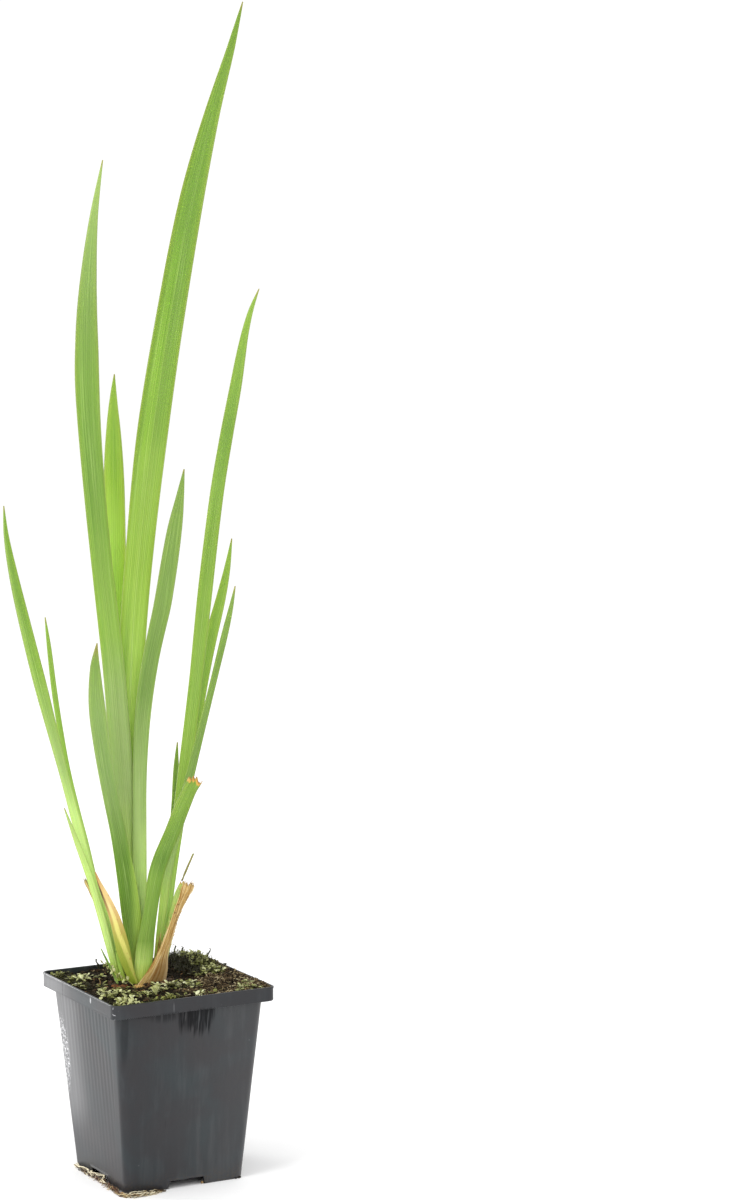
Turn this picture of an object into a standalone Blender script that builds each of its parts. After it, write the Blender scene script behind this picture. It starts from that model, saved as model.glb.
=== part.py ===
"""A young yellow flag iris growing in a square black nursery pot.

The pot stands on z = 0 with its sides along X and Y and its upright axis through the origin.
The leaves grow from one rhizome as a flat fan, which is turned about the pot's axis.
Sizes below are in millimetres and are turned into metres where the meshes are made.
"""

import math

import bpy

MM = 0.001

# Pot: a thin moulded square bucket whose wall steps outwards into an upright rim
RIM_HALF = 45.0
POT_HEIGHT = 100.0
RIM_BAND = 7.4
RIM_EDGE_ROUND = 0.4
RIM_DRAFT = 0.2
BASE_HALF = 32.5
WALL = 1.1
TAPER = 0.0875
FLOOR_BOTTOM = 3.0
FLOOR_TOP = 4.2
RIM_CORNER = 4.0
BODY_CORNER = 5.0
CORNER_STEPS = 5
CENTRE_FOOT_RADIUS = 11.0
DRAIN_RADIUS = 4.5
DRAIN_OFFSET = 17.0
NOTCH_WIDTH = 21.0
NOTCH_HEIGHT = 4.0
NOTCH_DEPTH = 4.0

# Peat
GAP = 0.3
SOIL_LEVEL = 97.8
SOIL_CELLS = 18
SOIL_CORNER_PULL = 0.03
MOUND_CENTRE = (28.0, 28.0)
MOUND_HEIGHT = 4.4
MOUND_SPREAD = 10.0

# Fan of leaves, in its own directions: across, depth (away from the viewer) and height
FAN_TURN = math.radians(-25.0)
CROWN_TOP = 98.2
LEAF_FOOT = 98.5
CROWN_CENTRE = (-8.0, 6.5)
CROWN_HALF = (18.0, 14.0)
CROWN_SIDES = 24
CROWN_FOOT = ((0.45, 83.8), (0.78, 85.8), (0.97, 90.3), (1.0, 94.3))
CROWN_SHOULDER = ((0.95, 97.2), (0.88, CROWN_TOP))
POCKET_MOUTH = 110.0
LEAN_CURVE = 1.6
TIP_THICKNESS = 0.4
SECTION = ((-1.0, 0.0), (-0.55, -0.75), (0.0, -1.0), (0.55, -0.75),
           (1.0, 0.0), (0.55, 0.75), (0.0, 1.0), (-0.55, 0.75))

# Colours
BLACK_PLASTIC = (0.045, 0.047, 0.05)
PEAT = (0.03, 0.02, 0.014)
LEAF_GREEN = (0.27, 0.52, 0.09)
BRIGHT_GREEN = (0.33, 0.58, 0.07)
GREY_GREEN = (0.21, 0.41, 0.10)
STRAW_YELLOW = (0.66, 0.55, 0.16)
PAPERY_TAN = (0.58, 0.33, 0.13)
DRY_BROWN = (0.25, 0.12, 0.05)
MOSS_GREEN = (0.30, 0.36, 0.10)

# Each blade: stations from foot to tip as (height, across, width), depth at foot and tip,
# thickness at the foot, turn of the blade's face at the tip in degrees, colour.
BLADES = {
    "tall_leaf": (
        [(LEAF_FOOT, -9.3, 8.0), (160, -12.6, 10.0), (214, -13.7, 12.4), (269, -11.4, 13.3),
         (323, -6.7, 14.4), (377, -0.4, 15.6), (446, 10.8, 14.4), (499, 21.1, 11.8),
         (539, 31.2, 7.8), (566, 39.2, 4.6), (590, 45.6, 0.6)],
        (8.2, 2.0), 1.6, 22, LEAF_GREEN),
    "left_leaf": (
        [(LEAF_FOOT, -9.3, 6.4), (161, -13.9, 11.0), (201, -16.8, 11.4), (256, -20.5, 11.2),
         (310, -26.0, 10.5), (364, -30.6, 11.3), (407, -32.6, 12.0), (433, -32.4, 10.5),
         (459, -31.0, 7.8), (486, -28.2, 4.2), (512, -23.8, 0.6)],
        (6.0, -14.0), 1.6, -18, LEAF_GREEN),
    "back_leaf": (
        [(LEAF_FOOT, -9.8, 6.0), (159, -13.6, 8.6), (251, -18.5, 10.6), (312, -19.7, 11.1),
         (349, -19.9, 10.5), (369, -20.0, 8.8), (389, -20.0, 5.1), (406, -19.3, 0.6)],
        (10.4, 22.0), 1.6, 15, BRIGHT_GREEN),
    "middle_leaf": (
        [(LEAF_FOOT, -6.6, 4.4), (133, -7.8, 5.6), (161, -8.4, 7.0), (201, -8.1, 7.0),
         (235, -6.3, 8.0), (270, -0.9, 8.4), (290, 3.6, 9.0), (311, 7.2, 8.8),
         (331, 10.4, 7.4), (345, 12.8, 4.4), (360, 15.1, 0.6)],
        (3.8, -10.0), 1.6, -14, GREY_GREEN),
    "short_curved_leaf": (
        [(LEAF_FOOT, -9.0, 6.0), (134, -13.0, 10.0), (152, -15.2, 9.6), (175, -19.0, 8.2),
         (210, -25.3, 8.2), (237, -28.7, 8.5), (253, -29.7, 6.7), (263, -29.8, 4.6),
         (274, -28.7, 0.6)],
        (1.6, -16.0), 1.6, -20, GREY_GREEN),
    "far_left_leaf": (
        [(LEAF_FOOT, -18.8, 3.2), (108, -20.4, 3.8), (119, -22.8, 4.4), (130, -25.5, 5.4),
         (142, -29.6, 5.4), (154, -33.3, 5.0), (203, -45.6, 4.7),
         (250, -57.1, 6.5), (291, -66.6, 5.5), (311, -70.7, 4.3), (330, -73.6, 2.3),
         (342, -74.3, 0.6)],
        (4.2, -8.0), 1.3, 20, LEAF_GREEN),
    "thin_left_leaf": (
        [(LEAF_FOOT, -17.4, 3.4), (140, -29.3, 3.4), (167, -35.6, 3.8), (207, -44.7, 3.0),
         (248, -51.0, 3.0), (270, -53.4, 2.3), (284, -55.1, 0.6)],
        (6.8, 12.0), 1.2, -15, GREY_GREEN),
    "short_left_leaf": (
        [(LEAF_FOOT, -19.8, 3.4), (131, -27.7, 4.0), (155, -34.4, 3.7), (171, -39.9, 2.9),
         (189, -46.1, 0.6)],
        (1.8, -3.0), 1.2, 10, LEAF_GREEN),
    "right_long_leaf": (
        [(LEAF_FOOT, 1.0, 5.0), (153, 7.7, 5.6), (178, 11.2, 6.2), (213, 15.9, 7.0),
         (254, 20.9, 6.8), (295, 25.4, 7.4), (350, 32.3, 7.1), (403, 41.9, 5.7),
         (426, 46.0, 3.8), (439, 49.4, 2.5), (449, 53.3, 0.6)],
        (14.6, 6.0), 1.3, -20, BRIGHT_GREEN),
    "right_second_leaf": (
        [(LEAF_FOOT, 2.0, 4.0), (153, 8.7, 3.8), (212, 18.1, 5.1), (253, 25.0, 6.1),
         (273, 29.0, 6.6), (290, 33.4, 5.4), (307, 37.2, 3.2), (322, 39.6, 0.6)],
        (16.8, 26.0), 1.2, 12, BRIGHT_GREEN),
    "right_dark_leaf": (
        [(LEAF_FOOT, -0.6, 4.0), (154, 5.8, 4.6), (179, 11.6, 5.4), (204, 17.6, 4.4),
         (242, 26.9, 3.7), (276, 35.0, 3.5), (290, 38.2, 2.3), (301, 40.3, 0.6)],
        (12.4, -6.0), 1.2, 16, GREY_GREEN),
    "right_small_leaf": (
        [(LEAF_FOOT, 0.8, 4.0), (163, 7.8, 4.6), (188, 10.1, 4.2), (205, 10.5, 2.8),
         (218, 11.2, 0.6)],
        (18.5, 22.0), 1.2, -10, GREY_GREEN),
    "cut_leaf": (
        [(LEAF_FOOT, -7.9, 7.4), (106, -7.2, 9.2), (113, -6.5, 9.3), (121, -5.6, 8.4), (129, -4.3, 7.5),
         (138, -2.9, 7.1), (153, -0.6, 8.0), (165, 3.0, 8.7), (178, 8.4, 8.7), (194, 14.4, 8.6),
         (206, 19.9, 7.1)],
        (-0.6, -16.0), 1.3, 18, LEAF_GREEN),
    "yellow_sheath": (
        [(LEAF_FOOT, -11.8, 4.0), (104, -13.9, 5.0), (112, -16.2, 6.6), (119, -17.8, 7.2),
         (127, -19.6, 6.4), (134, -21.6, 5.6), (145, -26.0, 3.9), (152, -29.0, 1.9),
         (157, -30.8, 0.6)],
        (-2.6, -8.0), 1.1, -15, STRAW_YELLOW),
    "green_stub": (
        [(LEAF_FOOT, 0.6, 5.0), (115, 4.6, 5.1), (134, 9.4, 4.8), (142, 11.5, 4.6),
         (148, 13.3, 2.3)],
        (9.6, 10.0), 1.1, 8, BRIGHT_GREEN),
    "base_shoot": (
        [(LEAF_FOOT, -16.9, 2.6), (104, -18.2, 2.4), (110, -19.7, 2.0), (116, -20.8, 0.6)],
        (0.2, 0.2), 0.9, 0, BRIGHT_GREEN),
    "dry_stub": (
        [(LEAF_FOOT, -19.0, 2.4), (128, -27.0, 2.2), (143, -33.0, 2.4), (150, -36.0, 2.4)],
        (9.2, 9.2), 0.8, 0, DRY_BROWN),
    "grass_seedling": (
        [(LEAF_FOOT, -20.2, 1.2), (105, -23.0, 1.3), (111, -25.7, 1.2), (117, -28.4, 0.5)],
        (-1.6, -4.0), 0.6, 0, MOSS_GREEN),
    "sheath_fibre": (
        [(148.4, 12.9, 0.6), (155, 15.7, 0.6), (162, 18.9, 0.5)],
        (10.0, 12.0), 0.6, 0, DRY_BROWN),
}

# The papery sheath wraps the crown's front right side, so its foot is turned a long way
PAPERY_STATIONS = [(LEAF_FOOT, -2.8, 14.0), (105, 0.2, 10.0), (111, 2.2, 6.4), (116, 3.9, 4.9),
                   (123, 6.4, 4.4), (130, 8.9, 3.8), (136, 11.2, 4.3), (142, 13.9, 5.1), (146, 15.4, 6.0),
                   (149, 16.3, 5.9)]
PAPERY_DEPTHS = (-1.8, 4.0)
PAPERY_FOOT_TURN = 36.0
PAPERY_THICKNESS = 0.8

# Low growth on the peat: centre, half sizes and height, all in the pot's own directions
PATCHES = {
    "seedlings_front": ((-21.0, -25.2), (19.8, 16.9), 3.2, MOSS_GREEN),
    "seedlings_middle": ((8.5, -13.0), (8.0, 6.3), 3.4, MOSS_GREEN),
    "seedlings_right": ((21.3, -31.2), (20.6, 10.8), 2.6, MOSS_GREEN),
    "seedlings_left": ((-36.6, 23.0), (5.8, 19.5), 3.2, MOSS_GREEN),
    "dry_moss": ((30.2, -10.6), (11.8, 8.6), 2.3, DRY_BROWN),
    "moss_mound": ((29.3, 20.0), (12.6, 20.8), 6.0, MOSS_GREEN),
}
PATCH_CLEARANCE = 0.6
PATCH_SIDES = 20
PATCH_RINGS = (0.4, 0.72, 0.92, 1.0)
PATCH_SQUARENESS = 0.75
PATCH_EDGE = 0.3

# Root mat that creeps out of the left notch: (x, y, half width, height)
ROOT_ROUTE = [(-34.0, 30.0, 0.7, 1.4), (-34.6, 24.0, 1.1, 2.6), (-34.8, 12.5, 1.2, 3.0),
              (-33.6, 5.0, 2.4, 3.2), (-33.6, -4.5, 2.4, 3.2), (-34.8, -13.0, 1.3, 2.9),
              (-35.0, -23.0, 1.4, 2.4), (-35.4, -31.5, 1.7, 2.2), (-33.4, -35.6, 2.1, 2.2),
              (-27.0, -36.2, 2.3, 2.3), (-19.0, -35.6, 1.9, 2.0), (-12.5, -34.6, 0.9, 1.0)]
ROOT_SECTION = ((-1.0, 0.0), (1.0, 0.0), (0.8, 0.6), (0.0, 1.0), (-0.8, 0.6))


def clear_scene():
    for old in list(bpy.data.objects):
        bpy.data.objects.remove(old, do_unlink=True)


def plain_finish(name, colour, roughness):
    """A Principled material with one colour and roughness."""
    finish = bpy.data.materials.new(name + "_finish")
    finish.use_nodes = True
    shader = finish.node_tree.nodes["Principled BSDF"]
    shader.inputs["Base Color"].default_value = (*colour, 1.0)
    shader.inputs["Roughness"].default_value = roughness
    shader.inputs["Metallic"].default_value = 0.0
    finish.diffuse_color = (*colour, 1.0)
    return finish


def add_solid(name, points, faces, parent=None):
    """Make an object from points in millimetres."""
    mesh = bpy.data.meshes.new(name)
    mesh.from_pydata([(x * MM, y * MM, z * MM) for x, y, z in points], [], faces)
    mesh.validate()
    solid = bpy.data.objects.new(name, mesh)
    bpy.context.scene.collection.objects.link(solid)
    solid.parent = parent
    return solid


def as_cutter(solid):
    solid.hide_render = True
    solid.display_type = "WIRE"
    return solid


def combine(solid, other, operation):
    """Add a live Boolean of another object."""
    step = solid.modifiers.new(other.name, "BOOLEAN")
    step.operation = operation
    step.solver = "EXACT"
    step.object = other


def loft(rings):
    """Points and faces of a closed skin through rings that all have the same number of points.

    The rings run upwards and each goes counterclockwise seen from above.
    """
    size = len(rings[0])
    points = [point for ring in rings for point in ring]
    faces = [tuple(reversed(range(size)))]
    for level in range(len(rings) - 1):
        low = level * size
        high = low + size
        for i in range(size):
            j = (i + 1) % size
            faces.append((low + i, low + j, high + j, high + i))
    faces.append(tuple(range(len(points) - size, len(points))))
    return points, faces


def spline(knots, values, at):
    """A smooth curve through values given at rising knots, which never overshoots them."""
    for i in range(len(knots) - 2):
        if at < knots[i + 1]:
            break
    else:
        i = len(knots) - 2

    def chord(k):
        return (values[k + 1] - values[k]) / (knots[k + 1] - knots[k])

    def slope(k):
        if k == 0 or k == len(knots) - 1:
            return chord(min(k, len(knots) - 2))
        before = chord(k - 1)
        after = chord(k)
        if before * after <= 0.0:
            return 0.0
        return 2.0 * before * after / (before + after)

    span = knots[i + 1] - knots[i]
    t = (at - knots[i]) / span
    hold = values[i] * (1 + 2 * t) * (1 - t) ** 2 + values[i + 1] * t * t * (3 - 2 * t)
    bend = slope(i) * t * (1 - t) ** 2 - slope(i + 1) * t * t * (1 - t)
    return hold + bend * span


def blade_levels(stations):
    """Heights of a blade's rings: each station and the middle of each stretch."""
    heights = [station[0] for station in stations]
    levels = []
    for low, high in zip(heights, heights[1:]):
        levels += [low, (low + high) / 2]
    return levels + [heights[-1]]


def blade_rings(stations, depths, foot_thickness, turn_at):
    """Lens shaped level rings of one blade, in the fan's own directions."""
    heights = [station[0] for station in stations]
    acrosses = [station[1] for station in stations]
    widths = [station[2] for station in stations]
    rings = []
    for height in blade_levels(stations):
        run = (height - heights[0]) / (heights[-1] - heights[0])
        middle = spline(heights, acrosses, height)
        depth = depths[0] + (depths[1] - depths[0]) * run ** LEAN_CURVE
        half = spline(heights, widths, height) / 2
        thick = (foot_thickness + (TIP_THICKNESS - foot_thickness) * run) / 2
        slant = math.tan(math.radians(turn_at(run)))
        ring = []
        for along, out in SECTION:
            ring.append((middle + along * half, depth + along * half * slant + out * thick, height))
        rings.append(ring)
    return rings


def make_blade(name, stations, depths, foot_thickness, turn_at, colour, fan):
    rings = blade_rings(stations, depths, foot_thickness, turn_at)
    points, faces = loft(rings)
    blade = add_solid(name, points, faces, fan)
    blade.data.materials.append(plain_finish(name, colour, 0.45))
    blade.data.shade_smooth()
    blade.data.set_sharp_from_angle(angle=math.radians(50))


def make_leaves(fan):
    for name, (stations, depths, foot_thickness, tip_turn, colour) in BLADES.items():
        make_blade(name, stations, depths, foot_thickness, lambda run, top=tip_turn: top * run, colour, fan)
    make_blade("papery_sheath", PAPERY_STATIONS, PAPERY_DEPTHS, PAPERY_THICKNESS,
               lambda run: PAPERY_FOOT_TURN * (1.0 - run), PAPERY_TAN, fan)


def crown_ring(grow, shrink, height):
    """One level outline of the rhizome, slightly lumpy, grown outwards by a clearance."""
    ring = []
    for i in range(CROWN_SIDES):
        angle = 2 * math.pi * i / CROWN_SIDES
        lump = 1.0 + 0.035 * math.sin(3 * angle + 0.6) + 0.02 * math.sin(7 * angle)
        across = CROWN_CENTRE[0] + (CROWN_HALF[0] * shrink * lump + grow) * math.cos(angle)
        depth = CROWN_CENTRE[1] + (CROWN_HALF[1] * shrink * lump + grow) * math.sin(angle)
        ring.append((across, depth, height))
    return ring


def make_rhizome(fan):
    """The fleshy rhizome lies in the peat with its top just bare."""
    rings = [crown_ring(0.0, shrink, height) for shrink, height in CROWN_FOOT + CROWN_SHOULDER]
    points, faces = loft(rings)
    rhizome = add_solid("rhizome", points, faces, fan)
    rhizome.data.materials.append(plain_finish("rhizome", DRY_BROWN, 0.7))


def crown_pocket(fan):
    """Cutter for the hollow in the peat that the rhizome fills, open at the top."""
    rings = [crown_ring(GAP + 0.1, shrink, height - GAP) for shrink, height in CROWN_FOOT]
    rings.append(crown_ring(GAP + 0.1, 1.0, POCKET_MOUTH))
    points, faces = loft(rings)
    return as_cutter(add_solid("crown_pocket", points, faces, fan))


def rounded_square(half, radius, height):
    """Level outline of a square with round corners, counterclockwise."""
    ring = []
    for quarter in range(4):
        turn = math.radians(90 * quarter)
        for step in range(CORNER_STEPS + 1):
            angle = turn + math.radians(90) * step / CORNER_STEPS
            inset = half - radius
            corner_x = inset if quarter in (0, 3) else -inset
            corner_y = inset if quarter in (0, 1) else -inset
            ring.append((corner_x + radius * math.cos(angle), corner_y + radius * math.sin(angle), height))
    return ring


def body_half(height):
    """Half width of the tapered wall's outer face."""
    return BASE_HALF + TAPER * height


def cylinder(name, radius, x, y, low, high, sides=20):
    ring = [(x + radius * math.cos(2 * math.pi * i / sides), y + radius * math.sin(2 * math.pi * i / sides))
            for i in range(sides)]
    points, faces = loft([[(px, py, z) for px, py in ring] for z in (low, high)])
    return as_cutter(add_solid(name, points, faces))


def box(name, x_range, y_range, z_range):
    left, right = x_range
    near, far = y_range
    corners = [(left, near), (right, near), (right, far), (left, far)]
    points, faces = loft([[(x, y, z) for x, y in corners] for z in z_range])
    return as_cutter(add_solid(name, points, faces))


def make_pot():
    """Square pot lofted along its wall's section, then drained and notched."""
    rim_low = POT_HEIGHT - RIM_BAND
    ledge = rim_low + WALL
    rim_in = RIM_HALF - WALL
    section = [
        (BASE_HALF - WALL, BODY_CORNER - WALL, FLOOR_BOTTOM),
        (BASE_HALF - WALL, BODY_CORNER - WALL, 0.0),
        (BASE_HALF, BODY_CORNER, 0.0),
        (body_half(rim_low), BODY_CORNER, rim_low),
        (RIM_HALF - RIM_DRAFT, RIM_CORNER, rim_low),
        (RIM_HALF, RIM_CORNER, POT_HEIGHT - RIM_EDGE_ROUND),
        (RIM_HALF - RIM_EDGE_ROUND, RIM_CORNER - RIM_EDGE_ROUND, POT_HEIGHT),
        (rim_in, RIM_CORNER - WALL, POT_HEIGHT),
        (rim_in - RIM_DRAFT, RIM_CORNER - WALL, ledge),
        (body_half(ledge) - WALL, BODY_CORNER - WALL, ledge),
        (body_half(FLOOR_TOP) - WALL, BODY_CORNER - WALL, FLOOR_TOP),
    ]
    points, faces = loft([rounded_square(*level) for level in section])
    pot = add_solid("pot", points, faces)
    foot = cylinder("centre_foot", CENTRE_FOOT_RADIUS, 0, 0, 0.0, (FLOOR_BOTTOM + FLOOR_TOP) / 2, sides=32)
    combine(pot, foot, "UNION")
    outside = body_half(0.0) + 1.5
    inside = outside - NOTCH_DEPTH - 1.5
    side = NOTCH_WIDTH / 2
    notches = {
        "notch_front": ((-side, side), (-outside, -inside)),
        "notch_back": ((-side, side), (inside, outside)),
        "notch_left": ((-outside, -inside), (-side, side)),
        "notch_right": ((inside, outside), (-side, side)),
    }
    for name, (x_range, y_range) in notches.items():
        combine(pot, box(name, x_range, y_range, (-1.0, NOTCH_HEIGHT)), "DIFFERENCE")
    for i, (x, y) in enumerate(((1, 1), (-1, 1), (-1, -1), (1, -1))):
        drain = cylinder("drain_%d" % i, DRAIN_RADIUS, x * DRAIN_OFFSET, y * DRAIN_OFFSET,
                         FLOOR_BOTTOM - 2, FLOOR_TOP + 2)
        combine(pot, drain, "DIFFERENCE")
    pot.data.materials.append(plain_finish("pot", BLACK_PLASTIC, 0.4))
    pot.data.shade_smooth()
    pot.data.set_sharp_from_angle(angle=math.radians(30))


def soil_top(x, y):
    """Height of the peat's surface: level with low lumps and a mound at the back right."""
    away = (x - MOUND_CENTRE[0]) ** 2 + (y - MOUND_CENTRE[1]) ** 2
    mound = MOUND_HEIGHT * math.exp(-away / (2 * MOUND_SPREAD ** 2))
    lumps = 0.35 * math.sin(x / 5.1 + 0.7) * math.sin(y / 4.3 + 1.9) - 0.25
    return SOIL_LEVEL + mound + lumps


def make_soil(fan):
    """Peat block: a grid on top, pulled in at the corners, over a ledge and a tapered plug."""
    top_half = RIM_HALF - WALL - RIM_DRAFT - GAP
    ledge = POT_HEIGHT - RIM_BAND + WALL + GAP
    low = FLOOR_TOP + GAP
    ledge_half = body_half(ledge) - WALL - 2 * GAP
    low_half = body_half(low) - WALL - 2 * GAP
    steps = [(top_half, ledge), (ledge_half, ledge), (low_half, low)]

    def spread(u, v, half):
        pull = 1.0 - SOIL_CORNER_PULL * (u * v) ** 8
        return half * u * pull, half * v * pull

    count = SOIL_CELLS + 1
    points = []
    for row in range(count):
        for column in range(count):
            u = 2.0 * column / SOIL_CELLS - 1.0
            v = 2.0 * row / SOIL_CELLS - 1.0
            x, y = spread(u, v, top_half)
            points.append((x, y, soil_top(x, y)))
    faces = []
    for row in range(SOIL_CELLS):
        for column in range(SOIL_CELLS):
            corner = row * count + column
            faces.append((corner, corner + 1, corner + count + 1, corner + count))
    rim = list(range(count))
    rim += [row * count + SOIL_CELLS for row in range(1, count)]
    rim += [SOIL_CELLS * count + column for column in range(SOIL_CELLS - 1, -1, -1)]
    rim += [row * count for row in range(SOIL_CELLS - 1, 0, -1)]
    above = rim
    for half, height in steps:
        first = len(points)
        shrink = half / top_half
        points += [(points[index][0] * shrink, points[index][1] * shrink, height) for index in rim]
        below = list(range(first, first + len(rim)))
        for i in range(len(rim)):
            j = (i + 1) % len(rim)
            faces.append((above[j], above[i], below[i], below[j]))
        above = below
    middle = len(points)
    points.append((0.0, 0.0, low))
    for i in range(len(rim)):
        faces.append((middle, first + (i + 1) % len(rim), first + i))
    soil = add_solid("soil", points, faces)
    combine(soil, crown_pocket(fan), "DIFFERENCE")
    soil.data.materials.append(plain_finish("soil", PEAT, 0.95))


def patch_point(centre, half, share, angle):
    """Point of a patch's rounded outline, shrunk to a share of its size."""
    def squared(value):
        return math.copysign(abs(value) ** PATCH_SQUARENESS, value)

    ragged = 1.0 + 0.04 * math.sin(5 * angle + centre[0])
    x = centre[0] + half[0] * share * ragged * squared(math.cos(angle)) * 0.96
    y = centre[1] + half[1] * share * ragged * squared(math.sin(angle)) * 0.96
    return x, y


def make_patches():
    """Low cushions of moss and seedlings that follow the peat's surface."""
    for name, (centre, half, height, colour) in PATCHES.items():
        under = []
        over = []
        for share in PATCH_RINGS:
            for i in range(PATCH_SIDES):
                x, y = patch_point(centre, half, share, 2 * math.pi * i / PATCH_SIDES)
                floor = soil_top(x, y) + PATCH_CLEARANCE
                lump = 1.0 + 0.12 * math.sin(x) * math.cos(y)
                crest = height * math.sqrt(max(0.0, 1.0 - share ** 2)) * lump
                under.append((x, y, floor))
                over.append((x, y, floor + PATCH_EDGE + crest))
        rings = len(PATCH_RINGS)
        under.append((*centre, soil_top(*centre) + PATCH_CLEARANCE))
        over.append((*centre, soil_top(*centre) + PATCH_CLEARANCE + PATCH_EDGE + height))
        shift = len(under)
        middle = shift - 1
        faces = []
        for i in range(PATCH_SIDES):
            j = (i + 1) % PATCH_SIDES
            faces.append((middle, j, i))
            faces.append((shift + middle, shift + i, shift + j))
            for ring in range(rings - 1):
                inner = ring * PATCH_SIDES
                outer = inner + PATCH_SIDES
                faces.append((inner + i, inner + j, outer + j, outer + i))
                faces.append((shift + inner + j, shift + inner + i, shift + outer + i, shift + outer + j))
            edge = (rings - 1) * PATCH_SIDES
            faces.append((edge + i, edge + j, shift + edge + j, shift + edge + i))
        patch = add_solid(name, under + over, faces)
        patch.data.materials.append(plain_finish(name, colour, 0.9))


def make_root_mat():
    """Flattened rope of fine roots lying against the foot of the pot."""
    rings = []
    for i, (x, y, half_width, height) in enumerate(ROOT_ROUTE):
        before = ROOT_ROUTE[max(i - 1, 0)]
        after = ROOT_ROUTE[min(i + 1, len(ROOT_ROUTE) - 1)]
        run_x = after[0] - before[0]
        run_y = after[1] - before[1]
        length = math.hypot(run_x, run_y)
        side_x = -run_y / length
        side_y = run_x / length
        ring = []
        for along, up in ROOT_SECTION:
            ring.append((x - side_x * along * half_width, y - side_y * along * half_width, GAP + up * height))
        rings.append(ring)
    points, faces = loft(rings)
    mat = add_solid("root_mat", points, [tuple(reversed(face)) for face in faces])
    mat.data.materials.append(plain_finish("root_mat", STRAW_YELLOW, 0.85))


def main():
    clear_scene()
    fan = bpy.data.objects.new("leaf_fan", None)
    bpy.context.scene.collection.objects.link(fan)
    fan.rotation_euler = (0.0, 0.0, FAN_TURN)
    make_pot()
    make_soil(fan)
    make_rhizome(fan)
    make_leaves(fan)
    make_patches()
    make_root_mat()


main()
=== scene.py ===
"""Looks of a young yellow flag iris in a square black nursery pot.

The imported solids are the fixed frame. Each operator below makes one piece, or one group of like
pieces, where the solids that it stands for are. Lengths are in metres: the short ones are
written in millimetres times MM.
"""

import math
import random

import bmesh
import bpy
import numpy as np
from bpy.props import FloatProperty, FloatVectorProperty, IntProperty, PointerProperty
from mathutils import Matrix, Vector, noise


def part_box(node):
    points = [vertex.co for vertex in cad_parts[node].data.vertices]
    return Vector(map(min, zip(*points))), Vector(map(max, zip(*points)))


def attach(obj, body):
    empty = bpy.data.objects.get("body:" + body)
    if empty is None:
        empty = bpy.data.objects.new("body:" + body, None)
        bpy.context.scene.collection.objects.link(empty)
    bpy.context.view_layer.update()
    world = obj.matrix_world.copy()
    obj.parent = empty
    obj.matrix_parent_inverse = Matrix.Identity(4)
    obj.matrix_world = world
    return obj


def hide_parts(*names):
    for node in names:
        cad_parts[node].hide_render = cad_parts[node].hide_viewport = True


bl_info = {
    "name": "Potted yellow flag iris",
    "version": (1, 0, 0),
    "blender": (4, 5, 0),
    "location": "3D View > Sidebar > Iris",
    "description": "Makes the visible pieces of a potted yellow flag iris around its packed solids",
    "category": "Object",
}

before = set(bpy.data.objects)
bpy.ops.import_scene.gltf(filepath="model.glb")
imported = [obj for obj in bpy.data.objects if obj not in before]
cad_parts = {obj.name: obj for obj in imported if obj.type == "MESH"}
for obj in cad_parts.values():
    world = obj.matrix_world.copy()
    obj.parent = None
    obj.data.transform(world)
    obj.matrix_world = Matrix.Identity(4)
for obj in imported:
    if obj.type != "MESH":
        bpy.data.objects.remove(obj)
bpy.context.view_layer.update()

MM = 0.001

# The fan's own directions, which are turned about the pot's axis
FAN_TURN = math.radians(-25.0)
ACROSS = np.array((math.cos(FAN_TURN), math.sin(FAN_TURN)))
AWAY = np.array((-math.sin(FAN_TURN), math.cos(FAN_TURN)))

# Sizes of the pot
RIM_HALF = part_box("pot")[1].x
POT_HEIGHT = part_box("pot")[1].z
BASE_HALF = 32.5 * MM
TAPER = 0.0875
WALL = 1.1 * MM
RIM_BAND = 7.4 * MM
FLOOR_BOTTOM = 3.0 * MM
FLOOR_TOP = 4.2 * MM
RIM_CORNER = 4.0 * MM
BODY_CORNER = 5.0 * MM
PLAIN_STRIP = 9.5 * MM
NOTCH_HALF = 10.5 * MM
NOTCH_HEIGHT = 4.0 * MM
NOTCH_DEPTH = 4.0 * MM
NOTCH_SLANT = 1.2 * MM
CENTRE_FOOT = 11.0 * MM
DRAIN = 4.5 * MM
DRAIN_OFFSET = 17.0 * MM
POT_STEPS = 150
CORNER_STEPS = 9
WALL_LEVELS = 44
FOOT_SIDES = 48
DRAIN_SIDES = 32
SHARP_ANGLE = 35

# Sizes of the peat and of the rhizome's crown in it
SOIL_LEVEL = 97.8 * MM
SOIL_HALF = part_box("soil")[1].x
SOIL_CORNER_PULL = 0.03
SOIL_GAP = 0.6 * MM
SOIL_CELLS = 170
WALL_HEAP = 1.5 * MM
MOUND = (28.0 * MM, 28.0 * MM, 4.4 * MM, 10.0 * MM)
CROWN_CENTRE = (-8.0 * MM, 6.5 * MM)
CROWN_HALF = (18.0 * MM, 14.0 * MM)
CROWN_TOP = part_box("rhizome")[1].z
CROWN_SIDES = 96
# The crown's outline as (share of its half sizes, millimetres over its top)
CROWN_PROFILE = ((0.45, -14.4), (0.78, -12.4), (0.97, -7.9), (1.0, -3.9), (0.99, -2.2), (0.95, -1.0),
                 (0.90, -0.3), (0.84, 0.0), (0.6, 0.25), (0.3, 0.35))

# Heap of chips beside the crown, with its reach in millimetres, and a dead stalk
CHIPS_PLACE = (-21.0 * MM, -0.5 * MM)
CHIPS_REACH = 2.4
STALK_PLACE = (-31.0 * MM, 5.0 * MM)

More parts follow.
